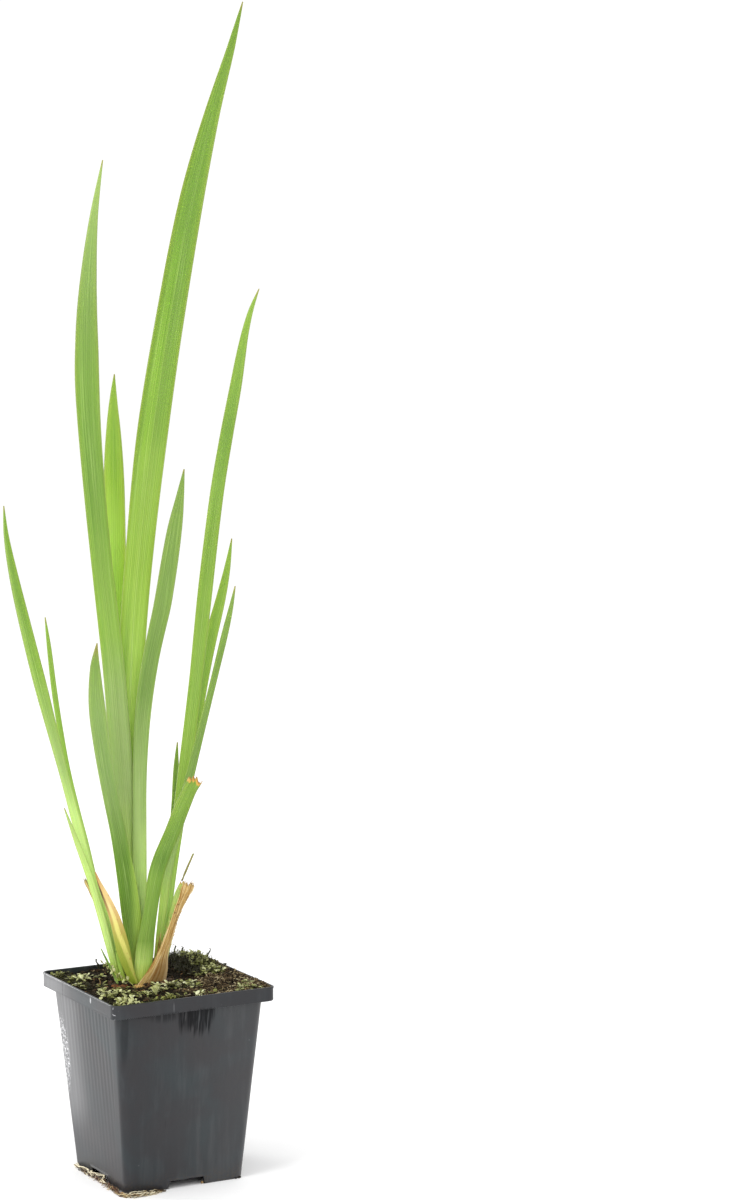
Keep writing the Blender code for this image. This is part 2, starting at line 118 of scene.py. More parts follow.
# Marks that the finishes paint: centre and half sizes in millimetres, and how softly they end
MARKS = {
    "wiped": ((2.5, -41.0, 91.0), (15.5, 6.0, 21.0), 0.7),
    "faintly wiped": ((-14.0, -41.0, 92.5), (14.0, 6.0, 6.5), 0.6),
    # Painted shade along the front face's left edge, and a painted shadow in a thin line under the rim
    "front_edge_shade": ((-36.6, -41.0, 82.0), (2.6, 6.0, 26.0), 0.5),
    "rim_shadow": ((-26.0, -41.0, 92.0), (9.0, 6.0, 1.1), 0.6),
    # Painted glints in a patch on the left wall
    "glint_patch": ((-39.5, 32.0, 56.0), (7.0, 9.5, 31.0), 0.7),
    # Painted highlights on the rim: on its mark on the front, on its left band and at its front corner
    "seam_highlight": ((-12.0, -45.0, 95.6), (0.5, 1.5, 3.4), 0.5),
    "band_highlight": ((-45.0, -17.0, 97.4), (1.5, 0.9, 2.0), 0.5),
    "corner_glints": ((-44.6, -43.5, 95.5), (1.6, 1.6, 4.5), 0.4),
    "old leaf's spot": ((-20.2, 7.0, 137.5), (0.9, 3.0, 0.9), 0.4),
    "crown's nub": ((-12.8, -3.2, 98.6), (5.0, 5.0, 4.0), 0.6),
}
# The rim's two small marks where its moulding joins
RIM_MARKS = ((-12.0 * MM, -RIM_HALF), (-RIM_HALF, 16.7 * MM))

# Patches of low growth: centre and half sizes in millimetres. The empty name is the whole peat.
PATCHES = {
    "seedlings_front": ((-21.0, -25.2), (19.8, 16.9)),
    "seedlings_middle": ((8.5, -13.0), (8.0, 6.3)),
    "seedlings_right": ((21.3, -31.2), (20.6, 10.8)),
    "seedlings_left": ((-36.6, 23.0), (5.8, 19.5)),
    "moss_mound": ((29.3, 20.0), (12.6, 20.8)),
    "dry_moss": ((30.2, -10.6), (11.8, 8.6)),
    "": ((0.0, 0.0), (SOIL_HALF / MM, SOIL_HALF / MM)),
}

# Roots: the route along the pot's foot as (x, y, half width, height) in millimetres
ROOT_ROUTE = [(-34.0, 30.0, 0.7, 1.4), (-34.6, 24.0, 1.1, 2.6), (-34.8, 12.5, 1.2, 3.0),
              (-33.6, 5.0, 2.4, 3.2), (-33.6, -4.5, 2.4, 3.2), (-34.8, -13.0, 1.3, 2.9),
              (-35.0, -23.0, 1.4, 2.4), (-35.4, -31.5, 1.7, 2.2), (-33.4, -35.6, 2.1, 2.2),
              (-27.0, -36.2, 2.3, 2.3), (-19.0, -35.6, 1.9, 2.0), (-12.5, -34.6, 0.9, 1.0)]

# Camera, at the photograph's viewing angle
CAMERA_TURN = math.radians(-25.2)
CAMERA_AWAY = 1.6
CAMERA_HEIGHT = 0.467
CAMERA_AIM = (math.radians(83.8), 0.0, math.radians(-29.12))
CAMERA_LENS = 96.0
CAMERA_FILM = 36.0

# Floor and lights: the name, the setting of the power, the place, the aim and the size
FLOOR_REACH = 30.0
MIDDLE = (0.0, 0.0, 0.2)
LIGHTS = (("key_light", "key", (-1.6, -0.5, 1.2), MIDDLE, 0.9),
          ("fill_light", "fill", (-0.1, -1.9, 1.3), MIDDLE, 1.0),
          ("glancing_light", "glance", (-1.1, 1.7, 0.35), (0.0, 0.0, 0.05), 0.9))


# Sizes and colours that a user would change

def colour(name, description, default):
    return FloatVectorProperty(name=name, description=description, default=default, size=3,
                               min=0.0, max=1.0, subtype="COLOR")


def length(name, description, default):
    return FloatProperty(name=name, description=description, default=default, min=0.0,
                         subtype="DISTANCE", unit="LENGTH", precision=5)


def portion(name, description, default):
    return FloatProperty(name=name, description=description, default=default, min=0.0, subtype="FACTOR")


def watts(name, description, default):
    return FloatProperty(name=name, description=description, default=default, min=0.0, unit="POWER")


class PotSettings(bpy.types.PropertyGroup):
    plastic: colour("Plastic", "Colour of the moulded plastic", (0.022, 0.023, 0.026))
    dust: colour("Dust", "Colour of the dusty film on the plastic", (0.12, 0.12, 0.125))
    flute_pitch: length("Flute pitch", "Distance between two upright flutes", 4.1 * MM)
    flute_depth: length("Flute depth", "Depth of the upright flutes", 0.09 * MM)
    warp: length("Warp", "How far the thin walls bulge in and out", 0.25 * MM)


class LeafSettings(bpy.types.PropertyGroup):
    upper: colour("Upper green", "Colour of the upper part of a blade", (0.150, 0.258, 0.040))
    mid: colour("Middle green", "Colour of the middle of a long blade", (0.205, 0.326, 0.050))
    light: colour("Light green", "Colour of the brighter blades", (0.252, 0.388, 0.064))
    # Painted light: the glowing and bright greens stand in for light that comes through the blades
    glow: colour("Glowing green", "Colour where light comes through a blade", (0.310, 0.455, 0.066))
    bright: colour("Bright green", "Colour of the youngest, thinnest parts", (0.385, 0.560, 0.095))
    grey: colour("Grey green", "Colour of the blades with a waxy bloom", (0.160, 0.250, 0.056))
    soft: colour("Soft green", "Colour where a waxy blade bends to the light", (0.208, 0.302, 0.092))
    sage: colour("Sage", "Pale colour low on the inner blades", (0.33, 0.44, 0.15))
    pale: colour("Pale green", "Colour of the palest blade", (0.55, 0.72, 0.24))
    olive: colour("Olive green", "Colour of the darkest stretch of a blade", (0.105, 0.205, 0.016))
    foot: colour("Foot", "Yellowish colour at a blade's foot", (0.50, 0.60, 0.09))
    fold: colour("Fold", "Pale colour where the blades wrap each other at the crown", (0.50, 0.66, 0.17))
    margin: colour("Margin", "Colour of a blade's thin edges", (0.36, 0.50, 0.15))
    tip: colour("Tip", "Colour of the dry point of a blade", (0.26, 0.20, 0.06))
    vein_spacing: length("Vein spacing", "Distance between two long veins", 1.0 * MM)
    vein_height: length("Vein height", "How far the long veins stand proud", 0.045 * MM)


class DrySettings(bpy.types.PropertyGroup):
    straw: colour("Straw", "Pale middle of the old yellow leaf", (0.68, 0.64, 0.155))
    olive: colour("Olive", "Greener foot of the old yellow leaf", (0.24, 0.32, 0.022))
    tan: colour("Tan", "Colour of the papery sheath", (0.68, 0.49, 0.17))
    rust: colour("Rust", "Orange brown fibres of the papery sheath", (0.42, 0.21, 0.05))
    dark: colour("Dark brown", "Dead brown ends and spots", (0.07, 0.035, 0.014))


class PeatSettings(bpy.types.PropertyGroup):
    peat: colour("Peat", "Colour of the moist peat", (0.008, 0.006, 0.004))
    crumb: colour("Crumbs", "Colour of the drier crumbs", (0.045, 0.034, 0.020))
    chip: colour("Chips", "Colour of the reddish chips", (0.20, 0.07, 0.025))
    crumbs: IntProperty(name="Crumbs", description="Number of loose crumbs", default=1500, min=0)
    crumb_size: length("Crumb size", "Size of a usual crumb", 0.8 * MM)


class GrowthSettings(bpy.types.PropertyGroup):
    dark: colour("Dark green", "Colour of the older moss leaves", (0.052, 0.048, 0.013))
    green: colour("Green", "Colour of the seedling leaves", (0.27, 0.285, 0.070))
    pale: colour("Pale green", "Colour of the palest seedling leaves", (0.64, 0.65, 0.33))
    fibre: colour("Dry fibre", "Colour of the dry brown moss", (0.115, 0.078, 0.040))
    leaf_length: length("Leaf length", "Length of one seedling leaf", 2.5 * MM)
    fullness: portion("Fullness", "Share of the listed number of seedlings", 0.9)


class RootSettings(bpy.types.PropertyGroup):
    pale: colour("Pale root", "Colour of the thick root strands", (0.74, 0.68, 0.50))
    straw: colour("Straw root", "Colour of the fine root mat", (0.52, 0.38, 0.17))
    dark: colour("Dark root", "Colour of the dead fine roots", (0.030, 0.019, 0.011))
    rust: colour("Rusty root", "Colour of the reddish fine roots", (0.17, 0.065, 0.03))
    fullness: portion("Fullness", "Share of the usual number of fine roots", 1.0)


class StageSettings(bpy.types.PropertyGroup):
    floor: colour("Floor", "Colour of the floor", (0.96, 0.96, 0.96))
    sky: FloatProperty(name="Sky", description="Strength of the even white light", default=1.06)
    key: watts("Key light", "Power of the large light on the left", 15.0)
    glance: watts("Glancing light", "Power of the light behind on the left", 26.0)
    fill: watts("Fill light", "Power of the light above the camera", 6.0)


# Finishes

class Finish:
    """A procedural material, built up from nodes on one Principled shader."""

    def __init__(self, name, roughness, specular):
        self.material = bpy.data.materials.new(name)
        self.material.use_nodes = True
        self.tree = self.material.node_tree
        self.shader = self.tree.nodes["Principled BSDF"]
        self.shader.inputs["Roughness"].default_value = roughness
        self.shader.inputs["Specular IOR Level"].default_value = specular

    def feed(self, socket, value):
        if isinstance(value, bpy.types.NodeSocket):
            self.tree.links.new(value, socket)
        elif hasattr(value, "__len__") and len(value) == 3 and len(socket.default_value) == 4:
            socket.default_value = (*value, 1.0)
        else:
            socket.default_value = value

    def node(self, kind, inputs=None, **settings):
        made = self.tree.nodes.new("ShaderNode" + kind)
        for key, value in settings.items():
            setattr(made, key, value)
        for key, value in (inputs or {}).items():
            self.feed(made.inputs[key], value)
        return made

    def field(self, name):
        """A number that the mesh carries at each of its points."""
        return self.node("Attribute", attribute_name=name).outputs["Fac"]

    def place(self):
        return self.node("TexCoord").outputs["Object"]

    def maths(self, operation, first, second=0.0):
        return self.node("Math", {0: first, 1: second}, operation=operation).outputs[0]

    def times(self, first, second):
        return self.maths("MULTIPLY", first, second)

    def plus(self, first, second):
        return self.maths("ADD", first, second)

    def minus(self, first, second):
        return self.maths("SUBTRACT", first, second)

    def most(self, first, second):
        return self.maths("MAXIMUM", first, second)

    def stretch(self, vector, scale):
        return self.node("Mapping", {"Vector": vector, "Scale": scale}).outputs[0]

    def vector(self, x, y, z):
        return self.node("CombineXYZ", {0: x, 1: y, 2: z}).outputs[0]

    def noise(self, vector, scale, detail=3.0, rough=0.5, twist=0.0):
        made = self.node("TexNoise", {"Vector": vector, "Scale": scale, "Detail": detail,
                                      "Roughness": rough, "Distortion": twist})
        return made.outputs["Fac"]

    def cells(self, vector, scale):
        return self.node("TexVoronoi", {"Vector": vector, "Scale": scale}).outputs["Distance"]

    def ramp(self, amount, stops):
        """Colours or greys over an amount: stops are (place, colour or grey)."""
        made = self.node("ValToRGB", {0: amount})
        band = made.color_ramp
        while len(band.elements) < len(stops):
            band.elements.new(0.5)
        for element, (place, shade) in zip(band.elements, stops):
            element.position = place
            element.color = (*shade, 1.0) if hasattr(shade, "__len__") else (shade, shade, shade, 1.0)
        return made.outputs[0]

    def step(self, amount, low, high, top=1.0):
        """A soft step from 0 at low to top at high, and the other way round where high is lower."""
        made = self.node("MapRange", {"Value": amount, "From Min": low, "From Max": high,
                                      "To Min": 0.0, "To Max": top}, interpolation_type="SMOOTHSTEP")
        return made.outputs[0]

    def mix(self, amount, first, second, way="MIX"):
        made = self.node("Mix", data_type="RGBA", blend_type=way)
        self.feed(made.inputs[0], amount)
        self.feed(made.inputs[6], first)
        self.feed(made.inputs[7], second)
        return made.outputs[2]

    def stain(self, amount, first, tint):
        """Multiply a colour by a tint, as far as the amount says."""
        return self.mix(amount, first, tint, "MULTIPLY")

    def mark(self, name):
        """1 in the middle of one of the marks above and 0 outside it."""
        centre, size, soft = MARKS[name]
        centre = tuple(value * MM for value in centre)
        size = tuple(value * MM for value in size)
        away = self.node("VectorMath", {0: self.place(), 1: centre}, operation="SUBTRACT").outputs[0]
        scaled = self.node("VectorMath", {0: away, 1: size}, operation="DIVIDE").outputs[0]
        reach = self.node("VectorMath", {0: scaled}, operation="LENGTH").outputs["Value"]
        return self.step(reach, 1.0, 1.0 - soft)

    def bump(self, height, distance, strength=1.0):
        made = self.node("Bump", {"Height": height, "Distance": distance, "Strength": strength})
        self.feed(self.shader.inputs["Normal"], made.outputs[0])

    def colour(self, value):
        self.feed(self.shader.inputs["Base Color"], value)

    def roughness(self, amount, low, high):
        made = self.node("MapRange", {"Value": amount, "To Min": low, "To Max": high})
        self.feed(self.shader.inputs["Roughness"], made.outputs[0])


def blend(first, second, share):
    """Colour between two others."""
    return tuple(a + (b - a) * share for a, b in zip(first, second))


# What each mark on a blade multiplies its colour by, or turns it to
BLOOM = (0.80, 0.86, 0.72)
DARK_VEIN = (0.66, 0.76, 0.55)
LIGHT_VEIN = (1.22, 1.14, 1.35)
GROOVE = (0.82, 0.87, 0.74)
EDGE_SHADE = (0.66, 0.70, 0.55)
RIGHT_SHADE = (0.62, 0.72, 0.5)
LEFT_LIGHT = (0.62, 0.74, 0.38)
DRIED_CUT = (0.58, 0.32, 0.07)
DEAD_CUT = (0.20, 0.08, 0.02)
# How long a stripe takes to begin and to end, as a share of the blade's length
STRIPE_FADE = 0.07
# Width of a blade's folded keel, as a share of its half width
KEEL = 0.09


def leaf_finish(name, look, veins):
    """Green blade: long veins, streaks, a pale foot and margins, and a dry point."""
    pick = bpy.context.scene.iris_leaves
    made = Finish(name, 0.48, 0.28)
    side = made.field("side")
    run = made.field("run")
    away = made.maths("ABSOLUTE", side)
    grain = made.vector(made.times(side, 9.0), made.times(run, 5.0), look["seed"])
    streaks = made.noise(grain, 1.0, 4.0, 0.6)
    fine = made.noise(made.stretch(grain, (2.6, 0.8, 1.0)), 1.0, 2.0, 0.5)
    broad = made.noise(made.place(), 22.0, 2.0)
    ridge = made.maths("COSINE", made.times(side, math.pi * veins))
    shade = made.ramp(run, [(place, tuple(getattr(pick, tint))) for place, tint in look["tints"]])
    shade = made.stain(made.step(broad, 0.35, 0.7, 0.5), shade, BLOOM)
    shade = made.mix(made.step(streaks, 0.50, 0.74, 0.5), shade, pick.margin)
    shade = made.stain(made.step(fine, 0.52, 0.36, 0.7), shade, DARK_VEIN)
    shade = made.stain(made.step(fine, 0.54, 0.68, 0.4), shade, LIGHT_VEIN)
    shade = made.stain(made.step(ridge, 0.9, -0.6, 0.5), shade, GROOVE)
    rib = made.step(away, KEEL, 0.0, look.get("rib", 0.15))
    shade = made.mix(rib, shade, blend(pick.light, pick.margin, 0.5))
    shade = made.stain(made.step(away, 0.62, 0.96, look.get("margin", 0.75)), shade, EDGE_SHADE)
    shade = blade_sides(made, look, shade, side, run, streaks)
    shade = blade_end(made, look, shade, run, fine)
    made.colour(shade)
    made.shader.inputs["Subsurface Weight"].default_value = 0.22
    made.shader.inputs["Subsurface Radius"].default_value = (1.0, 1.4, 0.4)
    made.shader.inputs["Subsurface Scale"].default_value = 2.5 * MM
    made.bump(made.plus(made.times(ridge, 0.5), streaks), 0.05 * MM, 0.6)
    made.roughness(streaks, 0.40, 0.58)
    return made.material


def blade_sides(made, look, shade, side, run, streaks):
    """What differs between a blade's left and right: a wrapped fold, a painted lit side and a painted shaded
    side, and stripes of painted light and shade.
    """
    pick = bpy.context.scene.iris_leaves
    if "pale" in look:
        toward, offset, slope, top = look["pale"]
        edge = made.minus(made.minus(side, made.times(run, slope)), offset)
        fold = made.step(made.times(edge, toward), -0.45, 0.45)
        fold = made.times(fold, made.step(run, top, top * 0.6, 0.8))
        wrapped = made.mix(made.step(run, 0.16, 0.0), pick.glow, pick.foot)
        wrapped = made.mix(made.step(streaks, 0.46, 0.68, 0.5), wrapped, pick.mid)
        shade = made.mix(fold, shade, wrapped)
    if "left_light" in look:
        shade = made.mix(made.step(side, 0.1, -0.9, look["left_light"]), shade, LEFT_LIGHT)
    for at, half, low, high, tint in look.get("stripes", ()):
        beam = made.step(made.maths("ABSOLUTE", made.minus(side, at)), half, half * 0.3)
        beam = made.times(beam, made.step(run, low, low + STRIPE_FADE))
        beam = made.times(beam, made.step(run, high, high - STRIPE_FADE))
        shade = made.stain(beam, shade, tint)
    if "right_shade" in look:
        shade = made.stain(made.step(side, -0.2, 0.8, look["right_shade"]), shade, RIGHT_SHADE)
    return shade


def blade_end(made, look, shade, run, fine):
    """The dry point of a whole blade, or the dried edge of a cut one."""
    if "tip_from" in look:
        dry = made.step(run, look["tip_from"], 1.0, 0.85)
        shade = made.mix(dry, shade, bpy.context.scene.iris_leaves.tip)
    if "ragged" in look:
        frayed = made.plus(made.field("torn"), made.times(made.minus(fine, 0.5), 0.8))
        shade = made.mix(made.step(frayed, 0.45, 0.62), shade, DRIED_CUT)
        shade = made.mix(made.step(frayed, 0.80, 1.05), shade, DEAD_CUT)
    return shade


# Colours of the marks on the pot's plastic
WARM_BLOTCH = (0.026, 0.022, 0.024)
COLD_BLOTCH = (0.022, 0.032, 0.036)
# Dark of the wipes, also used for the painted shade and shadow
WIPE_AND_SHADE = (0.006, 0.006, 0.007)
GLINT = (0.85, 0.85, 0.87)
# Painted highlights on the rim
RIM_HIGHLIGHT = (0.5, 0.5, 0.52)
SOILED = (0.055, 0.04, 0.026)
# Painted shade inside the notches
NOTCH_SHADE = (0.004, 0.003, 0.003)


def wipes_and_painted_shade(made, height):
    """Where the film is wiped off the pot in dark streaks under the rim, with painted shade along the front
    face's left edge and a painted shadow in a thin line under the rim.
    """
    place = made.place()
    runs = made.noise(made.stretch(place, (420.0, 420.0, 14.0)), 1.0, 2.0, 0.5)
    deep = made.plus(made.mark("wiped"), made.times(made.minus(runs, 0.5), 1.3))
    under_rim = made.most(made.step(deep, 0.2, 0.8), made.times(made.mark("faintly wiped"), 0.6))
    lines = made.step(made.noise(made.stretch(place, (950.0, 950.0, 12.0)), 1.0, 1.0), 0.38, 0.52)
    lines = made.most(lines, made.step(made.field("flute"), 0.2, 0.8, 0.8))
    wipes_and_shade = made.times(under_rim, lines)
    # Painted shade along the front face's left edge and a painted shadow under the rim
    wipes_and_shade = made.most(wipes_and_shade, made.times(made.mark("front_edge_shade"), 0.4))
    wipes_and_shade = made.most(wipes_and_shade, made.times(made.mark("rim_shadow"), 0.7))
    return made.times(wipes_and_shade, made.step(height, 94.5 * MM, 92.4 * MM))


def pot_stains(made, shade, height, grain):
    """Painted glints, painted highlights on the rim, dust specks and the soiled foot, painted over a colour.
    """
    place = made.place()
    # Painted glints: pale specks in a patch on the left wall
    glint_specks = made.noise(made.stretch(place, (1600.0, 1600.0, 800.0)), 1.0, 2.0, 0.6)
    glints = made.times(made.step(made.mark("glint_patch"), 0.1, 0.7), made.step(glint_specks, 0.53, 0.60))
    shade = made.mix(made.times(glints, 0.85), shade, GLINT)
    # Painted glints at the rim's front corner, and painted highlights on the rim's front mark and left band
    corner_glints = made.times(made.mark("corner_glints"), made.step(made.noise(place, 480.0, 2.0), 0.56, 0.62))
    worn = made.most(made.times(made.mark("seam_highlight"), 0.12), made.most(made.mark("band_highlight"), corner_glints))
    shade = made.mix(made.times(worn, 0.8), shade, RIM_HIGHLIGHT)
    specks = made.step(made.cells(place, 210.0), 0.10, 0.04, 0.5)
    specks = made.times(specks, made.step(made.noise(place, 60.0), 0.58, 0.66))
    shade = made.mix(specks, shade, bpy.context.scene.iris_pot.dust)
    soiled = made.times(made.step(height, 12.0 * MM, 0.0, 0.55), made.step(grain, 0.45, 0.65))
    return made.mix(soiled, shade, SOILED)


def painted_notch_shade(made, split):
    """Painted shade inside the notches, where the wall is cut through."""
    reach_x = made.maths("ABSOLUTE", split[0])
    reach_y = made.maths("ABSOLUTE", split[1])
    hollow = made.times(made.step(made.most(reach_x, reach_y), BASE_HALF, BASE_HALF - 0.5 * MM),
                        made.step(split[2], 4.8 * MM, 4.0 * MM))
    beside = made.maths("MINIMUM", reach_x, reach_y)
    return made.times(hollow, made.step(beside, NOTCH_HALF + 2 * MM, NOTCH_HALF + 1 * MM))


def plastic_finish():
    """Black moulded plastic with a dusty film, upright wipe marks and blotches, with painted light, glints
    and shade.
    """
    pick = bpy.context.scene.iris_pot
    made = Finish("pot_plastic_looks", 0.38, 0.5)
    place = made.place()
    split = made.node("SeparateXYZ", {0: place}).outputs
    height = split[2]
    sheen = made.field("sheen")
    blotch = made.noise(place, 34.0, 3.0, 0.55, 0.6)
    upright = made.noise(made.stretch(place, (260.0, 260.0, 9.0)), 1.0, 3.0, 0.6)
    grain = made.noise(place, 900.0, 3.0, 0.6)
    shade = made.ramp(blotch, [(0.30, blend(pick.plastic, WARM_BLOTCH, 0.6)), (0.50, pick.plastic),
                               (0.70, blend(pick.plastic, COLD_BLOTCH, 0.7))])
    # The dusty film shows more where the wall is painted lighter
    film = made.times(made.step(upright, 0.42, 0.72), made.step(blotch, 0.35, 0.62))
    film = made.times(film, sheen)
    shade = made.mix(made.times(film, 0.17), shade, pick.dust)
    # Painted light: where the wall is painted lighter it takes more of the dust colour
    shade = made.mix(made.step(sheen, 0.9, 1.7, 0.75), shade, pick.dust)
    wipes_and_shade = wipes_and_painted_shade(made, height)
    shade = made.mix(made.times(wipes_and_shade, 0.85), shade, WIPE_AND_SHADE)
    shade = pot_stains(made, shade, height, grain)
    # Painted shade inside the notches, which also takes away their shine
    hollow = painted_notch_shade(made, split)
    shade = made.mix(hollow, shade, NOTCH_SHADE)
    made.colour(shade)
    gloss = made.plus(made.times(film, 0.5), made.times(wipes_and_shade, -0.4))
    made.roughness(made.plus(gloss, made.times(blotch, 0.5)), 0.28, 0.52)
    # The shine follows the painted light, and drops in the wipes and the painted shade
    shine = made.times(sheen, made.minus(1.0, made.times(wipes_and_shade, 0.75)))
    shine = made.times(shine, made.minus(1.0, made.times(hollow, 0.9)))
    made.feed(made.shader.inputs["Specular IOR Level"], made.times(shine, 0.5))
    made.bump(made.plus(grain, made.times(upright, 0.8)), 0.05 * MM, 0.5)
    return made.material


def peat_finish(name, low, high):
    """Moist crumbly peat between a dark and a drier colour."""
    made = Finish(name, 0.92, 0.08)
    place = made.place()
    coarse = made.noise(place, 330.0, 5.0, 0.65)
    fine = made.noise(place, 1500.0, 4.0, 0.7)
    shade = made.ramp(coarse, [(0.38, low), (0.60, blend(low, high, 0.35)), (0.74, high)])
    shade = made.mix(made.step(fine, 0.62, 0.75, 0.5), shade, blend(high, (0.16, 0.10, 0.05), 0.5))
    made.colour(shade)
    made.bump(made.plus(coarse, made.times(fine, 0.6)), 0.5 * MM, 0.9)
    return made.material


def shaded_finish(name, stops, roughness, scale, specular=0.3):
    """Small growth, crumbs or roots: each bit has its own place on the range of colours, with painted shade
    in the small leaves' hollow middles and on their undersides.
    """
    made = Finish(name, roughness, specular)
    own = made.field("shade")
    mottle = made.noise(made.place(), scale, 3.0, 0.6)
    amount = made.plus(own, made.times(made.minus(mottle, 0.5), 0.5))
    shade = made.ramp(amount, stops)
    # Painted shade down each small leaf's hollow middle and on its underside
    heart = made.field("heart")
    shade = made.stain(made.times(heart, 0.45), shade, (0.55, 0.60, 0.55))
    made.colour(shade)
    made.bump(mottle, 0.12 * MM, 0.6)
    made.roughness(mottle, roughness - 0.12, roughness + 0.12)
    return made.material


def old_leaf_finish():
    """Old leaf turned yellow: straw down its middle, olive low on its left, dry and brown towards its end."""
    pick = bpy.context.scene.iris_dry
    made = Finish("old_sheath_looks", 0.5, 0.3)
    side = made.field("side")
    run = made.field("run")
    grain = made.vector(made.times(side, 12.0), made.times(run, 3.0), 4.0)
    streaks = made.noise(grain, 1.0, 4.0, 0.65)
    left = made.ramp(run, [(0.0, pick.olive), (0.36, blend(pick.olive, pick.straw, 0.2)),
                           (0.60, blend(pick.tan, pick.rust, 0.5)), (0.82, pick.dark), (1.0, pick.rust)])
    middle = made.ramp(run, [(0.0, blend(pick.olive, pick.straw, 0.3)),
                             (0.18, blend(pick.olive, pick.straw, 0.5)), (0.34, pick.straw),
                             (0.52, (0.76, 0.70, 0.20)), (0.68, (0.80, 0.68, 0.30)),
                             (0.85, (0.70, 0.46, 0.16)), (1.0, pick.rust)])
    right = made.ramp(run, [(0.0, pick.olive), (0.22, (0.31, 0.35, 0.045)),
                            (0.42, (0.40, 0.36, 0.06)), (0.60, blend(pick.tan, pick.rust, 0.3)),
                            (0.82, (0.76, 0.56, 0.25)), (1.0, pick.rust)])
    wander = made.plus(side, made.times(made.minus(streaks, 0.5), 0.5))
    drift = made.most(made.minus(1.0, made.times(run, 2.4)), -0.15)
    wander = made.minus(wander, drift)
    shade = made.mix(made.step(wander, -0.5, -0.2), left, middle)
    shade = made.mix(made.step(wander, 0.22, 0.5), shade, right)
    shade = made.mix(made.step(streaks, 0.5, 0.75, 0.4), shade, blend(pick.straw, pick.rust, 0.35))
    specks = made.noise(made.stretch(made.place(), (900.0, 900.0, 500.0)), 1.0, 2.0)
    marked = made.times(made.step(specks, 0.62, 0.72, 0.7), made.step(side, -0.1, 0.4))
    shade = made.mix(marked, shade, pick.rust)
    shade = made.mix(made.times(made.mark("old leaf's spot"), 0.8), shade, pick.rust)
    made.colour(shade)
    made.bump(streaks, 0.2 * MM, 0.7)
    return made.material


def papery_finish():
    """Dead papery sheath: tan with rusty fibres, pale frayed edges and dark spots."""
    pick = bpy.context.scene.iris_dry
    made = Finish("dry_sheath_looks", 0.75, 0.2)
    side = made.field("side")
    run = made.field("run")
    grain = made.vector(made.times(side, 7.0), made.times(run, 3.0), 9.0)
    streaks = made.noise(grain, 1.0, 5.0, 0.7, 0.4)
    fine = made.noise(made.stretch(grain, (4.0, 2.0, 1.0)), 1.0, 3.0)
    shade = made.ramp(streaks, [(0.36, blend(pick.rust, pick.dark, 0.3)), (0.44, pick.rust),
                                (0.51, pick.tan), (0.60, (0.84, 0.66, 0.36))])
    shade = made.mix(made.step(fine, 0.58, 0.76, 0.55), shade, (0.26, 0.12, 0.03))
    foot = made.times(made.step(run, 0.36, 0.14, 0.75), made.step(side, -0.7, 0.0))
    shade = made.mix(foot, shade, blend(pick.rust, pick.dark, 0.45))
    shade = made.mix(made.step(side, 0.55, 0.95, 0.6), shade, (0.70, 0.54, 0.30))
    spots = made.times(made.step(made.cells(made.place(), 420.0), 0.30, 0.12),
                       made.step(made.noise(made.place(), 120.0), 0.52, 0.62))
    shade = made.mix(made.times(spots, 0.75), shade, pick.dark)
    shade = made.mix(made.step(made.field("torn"), 0.8, 1.1, 0.6), shade, pick.dark)
    made.colour(shade)
    made.bump(made.plus(streaks, made.times(fine, 0.5)), 0.35 * MM, 0.8)
    return made.material


def rhizome_finish():
    """Dark rough skin of the rhizome, orange brown at its front nub."""
    pick = bpy.context.scene.iris_dry
    made = Finish("rhizome_skin_looks", 0.75, 0.25)
    place = made.place()
    lumps = made.noise(place, 260.0, 5.0, 0.65, 0.8)
    fibres = made.noise(made.stretch(place, (700.0, 700.0, 160.0)), 1.0, 3.0)
    shade = made.ramp(lumps, [(0.36, blend(pick.dark, (0.01, 0.008, 0.006), 0.6)),
                              (0.56, pick.dark), (0.74, blend(pick.dark, pick.rust, 0.5))])
    warm = made.ramp(lumps, [(0.36, pick.rust), (0.6, pick.tan), (0.8, (0.70, 0.46, 0.16))])
    shade = made.mix(made.mark("crown's nub"), shade, warm)
    shade = made.mix(made.step(fibres, 0.6, 0.75, 0.5), shade, pick.dark)
    made.colour(shade)
    made.bump(made.plus(lumps, fibres), 0.4 * MM, 0.8)
    return made.material


# Meshes

def make_piece(name, points, faces, finish, stands_for=(), fields=None):
    """Make one visible piece, put it on the root body and hide the solids that it stands for."""
    mesh = bpy.data.meshes.new(name)
    mesh.from_pydata(np.asarray(points, dtype=float).tolist(), [], faces)
    for field, values in (fields or {}).items():
        store = mesh.attributes.new(field, "FLOAT", "POINT").data
        store.foreach_set("value", np.asarray(values, dtype=np.float32))
    mesh.validate()
    mesh.update()
    piece = bpy.data.objects.new(name, mesh)
    bpy.context.scene.collection.objects.link(piece)
    mesh.materials.append(finish)
    mesh.shade_smooth()
    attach(piece, "root")
    if stands_for:
        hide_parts(*stands_for)
    return piece


class Heap:
    """Gathers many small closed shapes that become one piece."""

    def __init__(self):
        self.points = []
        self.faces = []
        self.shades = []
        # Painted shade at each point: the small leaves' hollow middles and undersides
        self.cupped_shades = []

    def add(self, points, faces, shade, cupped_shades=None):
        first = len(self.points)
        self.points += [tuple(point) for point in points]
        self.faces += [tuple(first + index for index in face) for face in faces]
        self.shades += [shade] * len(points)
        self.cupped_shades += list(cupped_shades) if cupped_shades is not None else [0.0] * len(points)

    def piece(self, name, finish, slot, stands_for=()):
        fields = {"shade": self.shades, "heart": self.cupped_shades}
        make_piece(name, self.points, self.faces, finish, stands_for, fields)


def ring_faces(rings, size):
    """Quads between neighbouring closed rings of points."""
    faces = []
    for level in range(rings - 1):
        low = level * size
        high = low + size
        faces += [(low + i, low + (i + 1) % size, high + (i + 1) % size, high + i) for i in range(size)]
    return faces


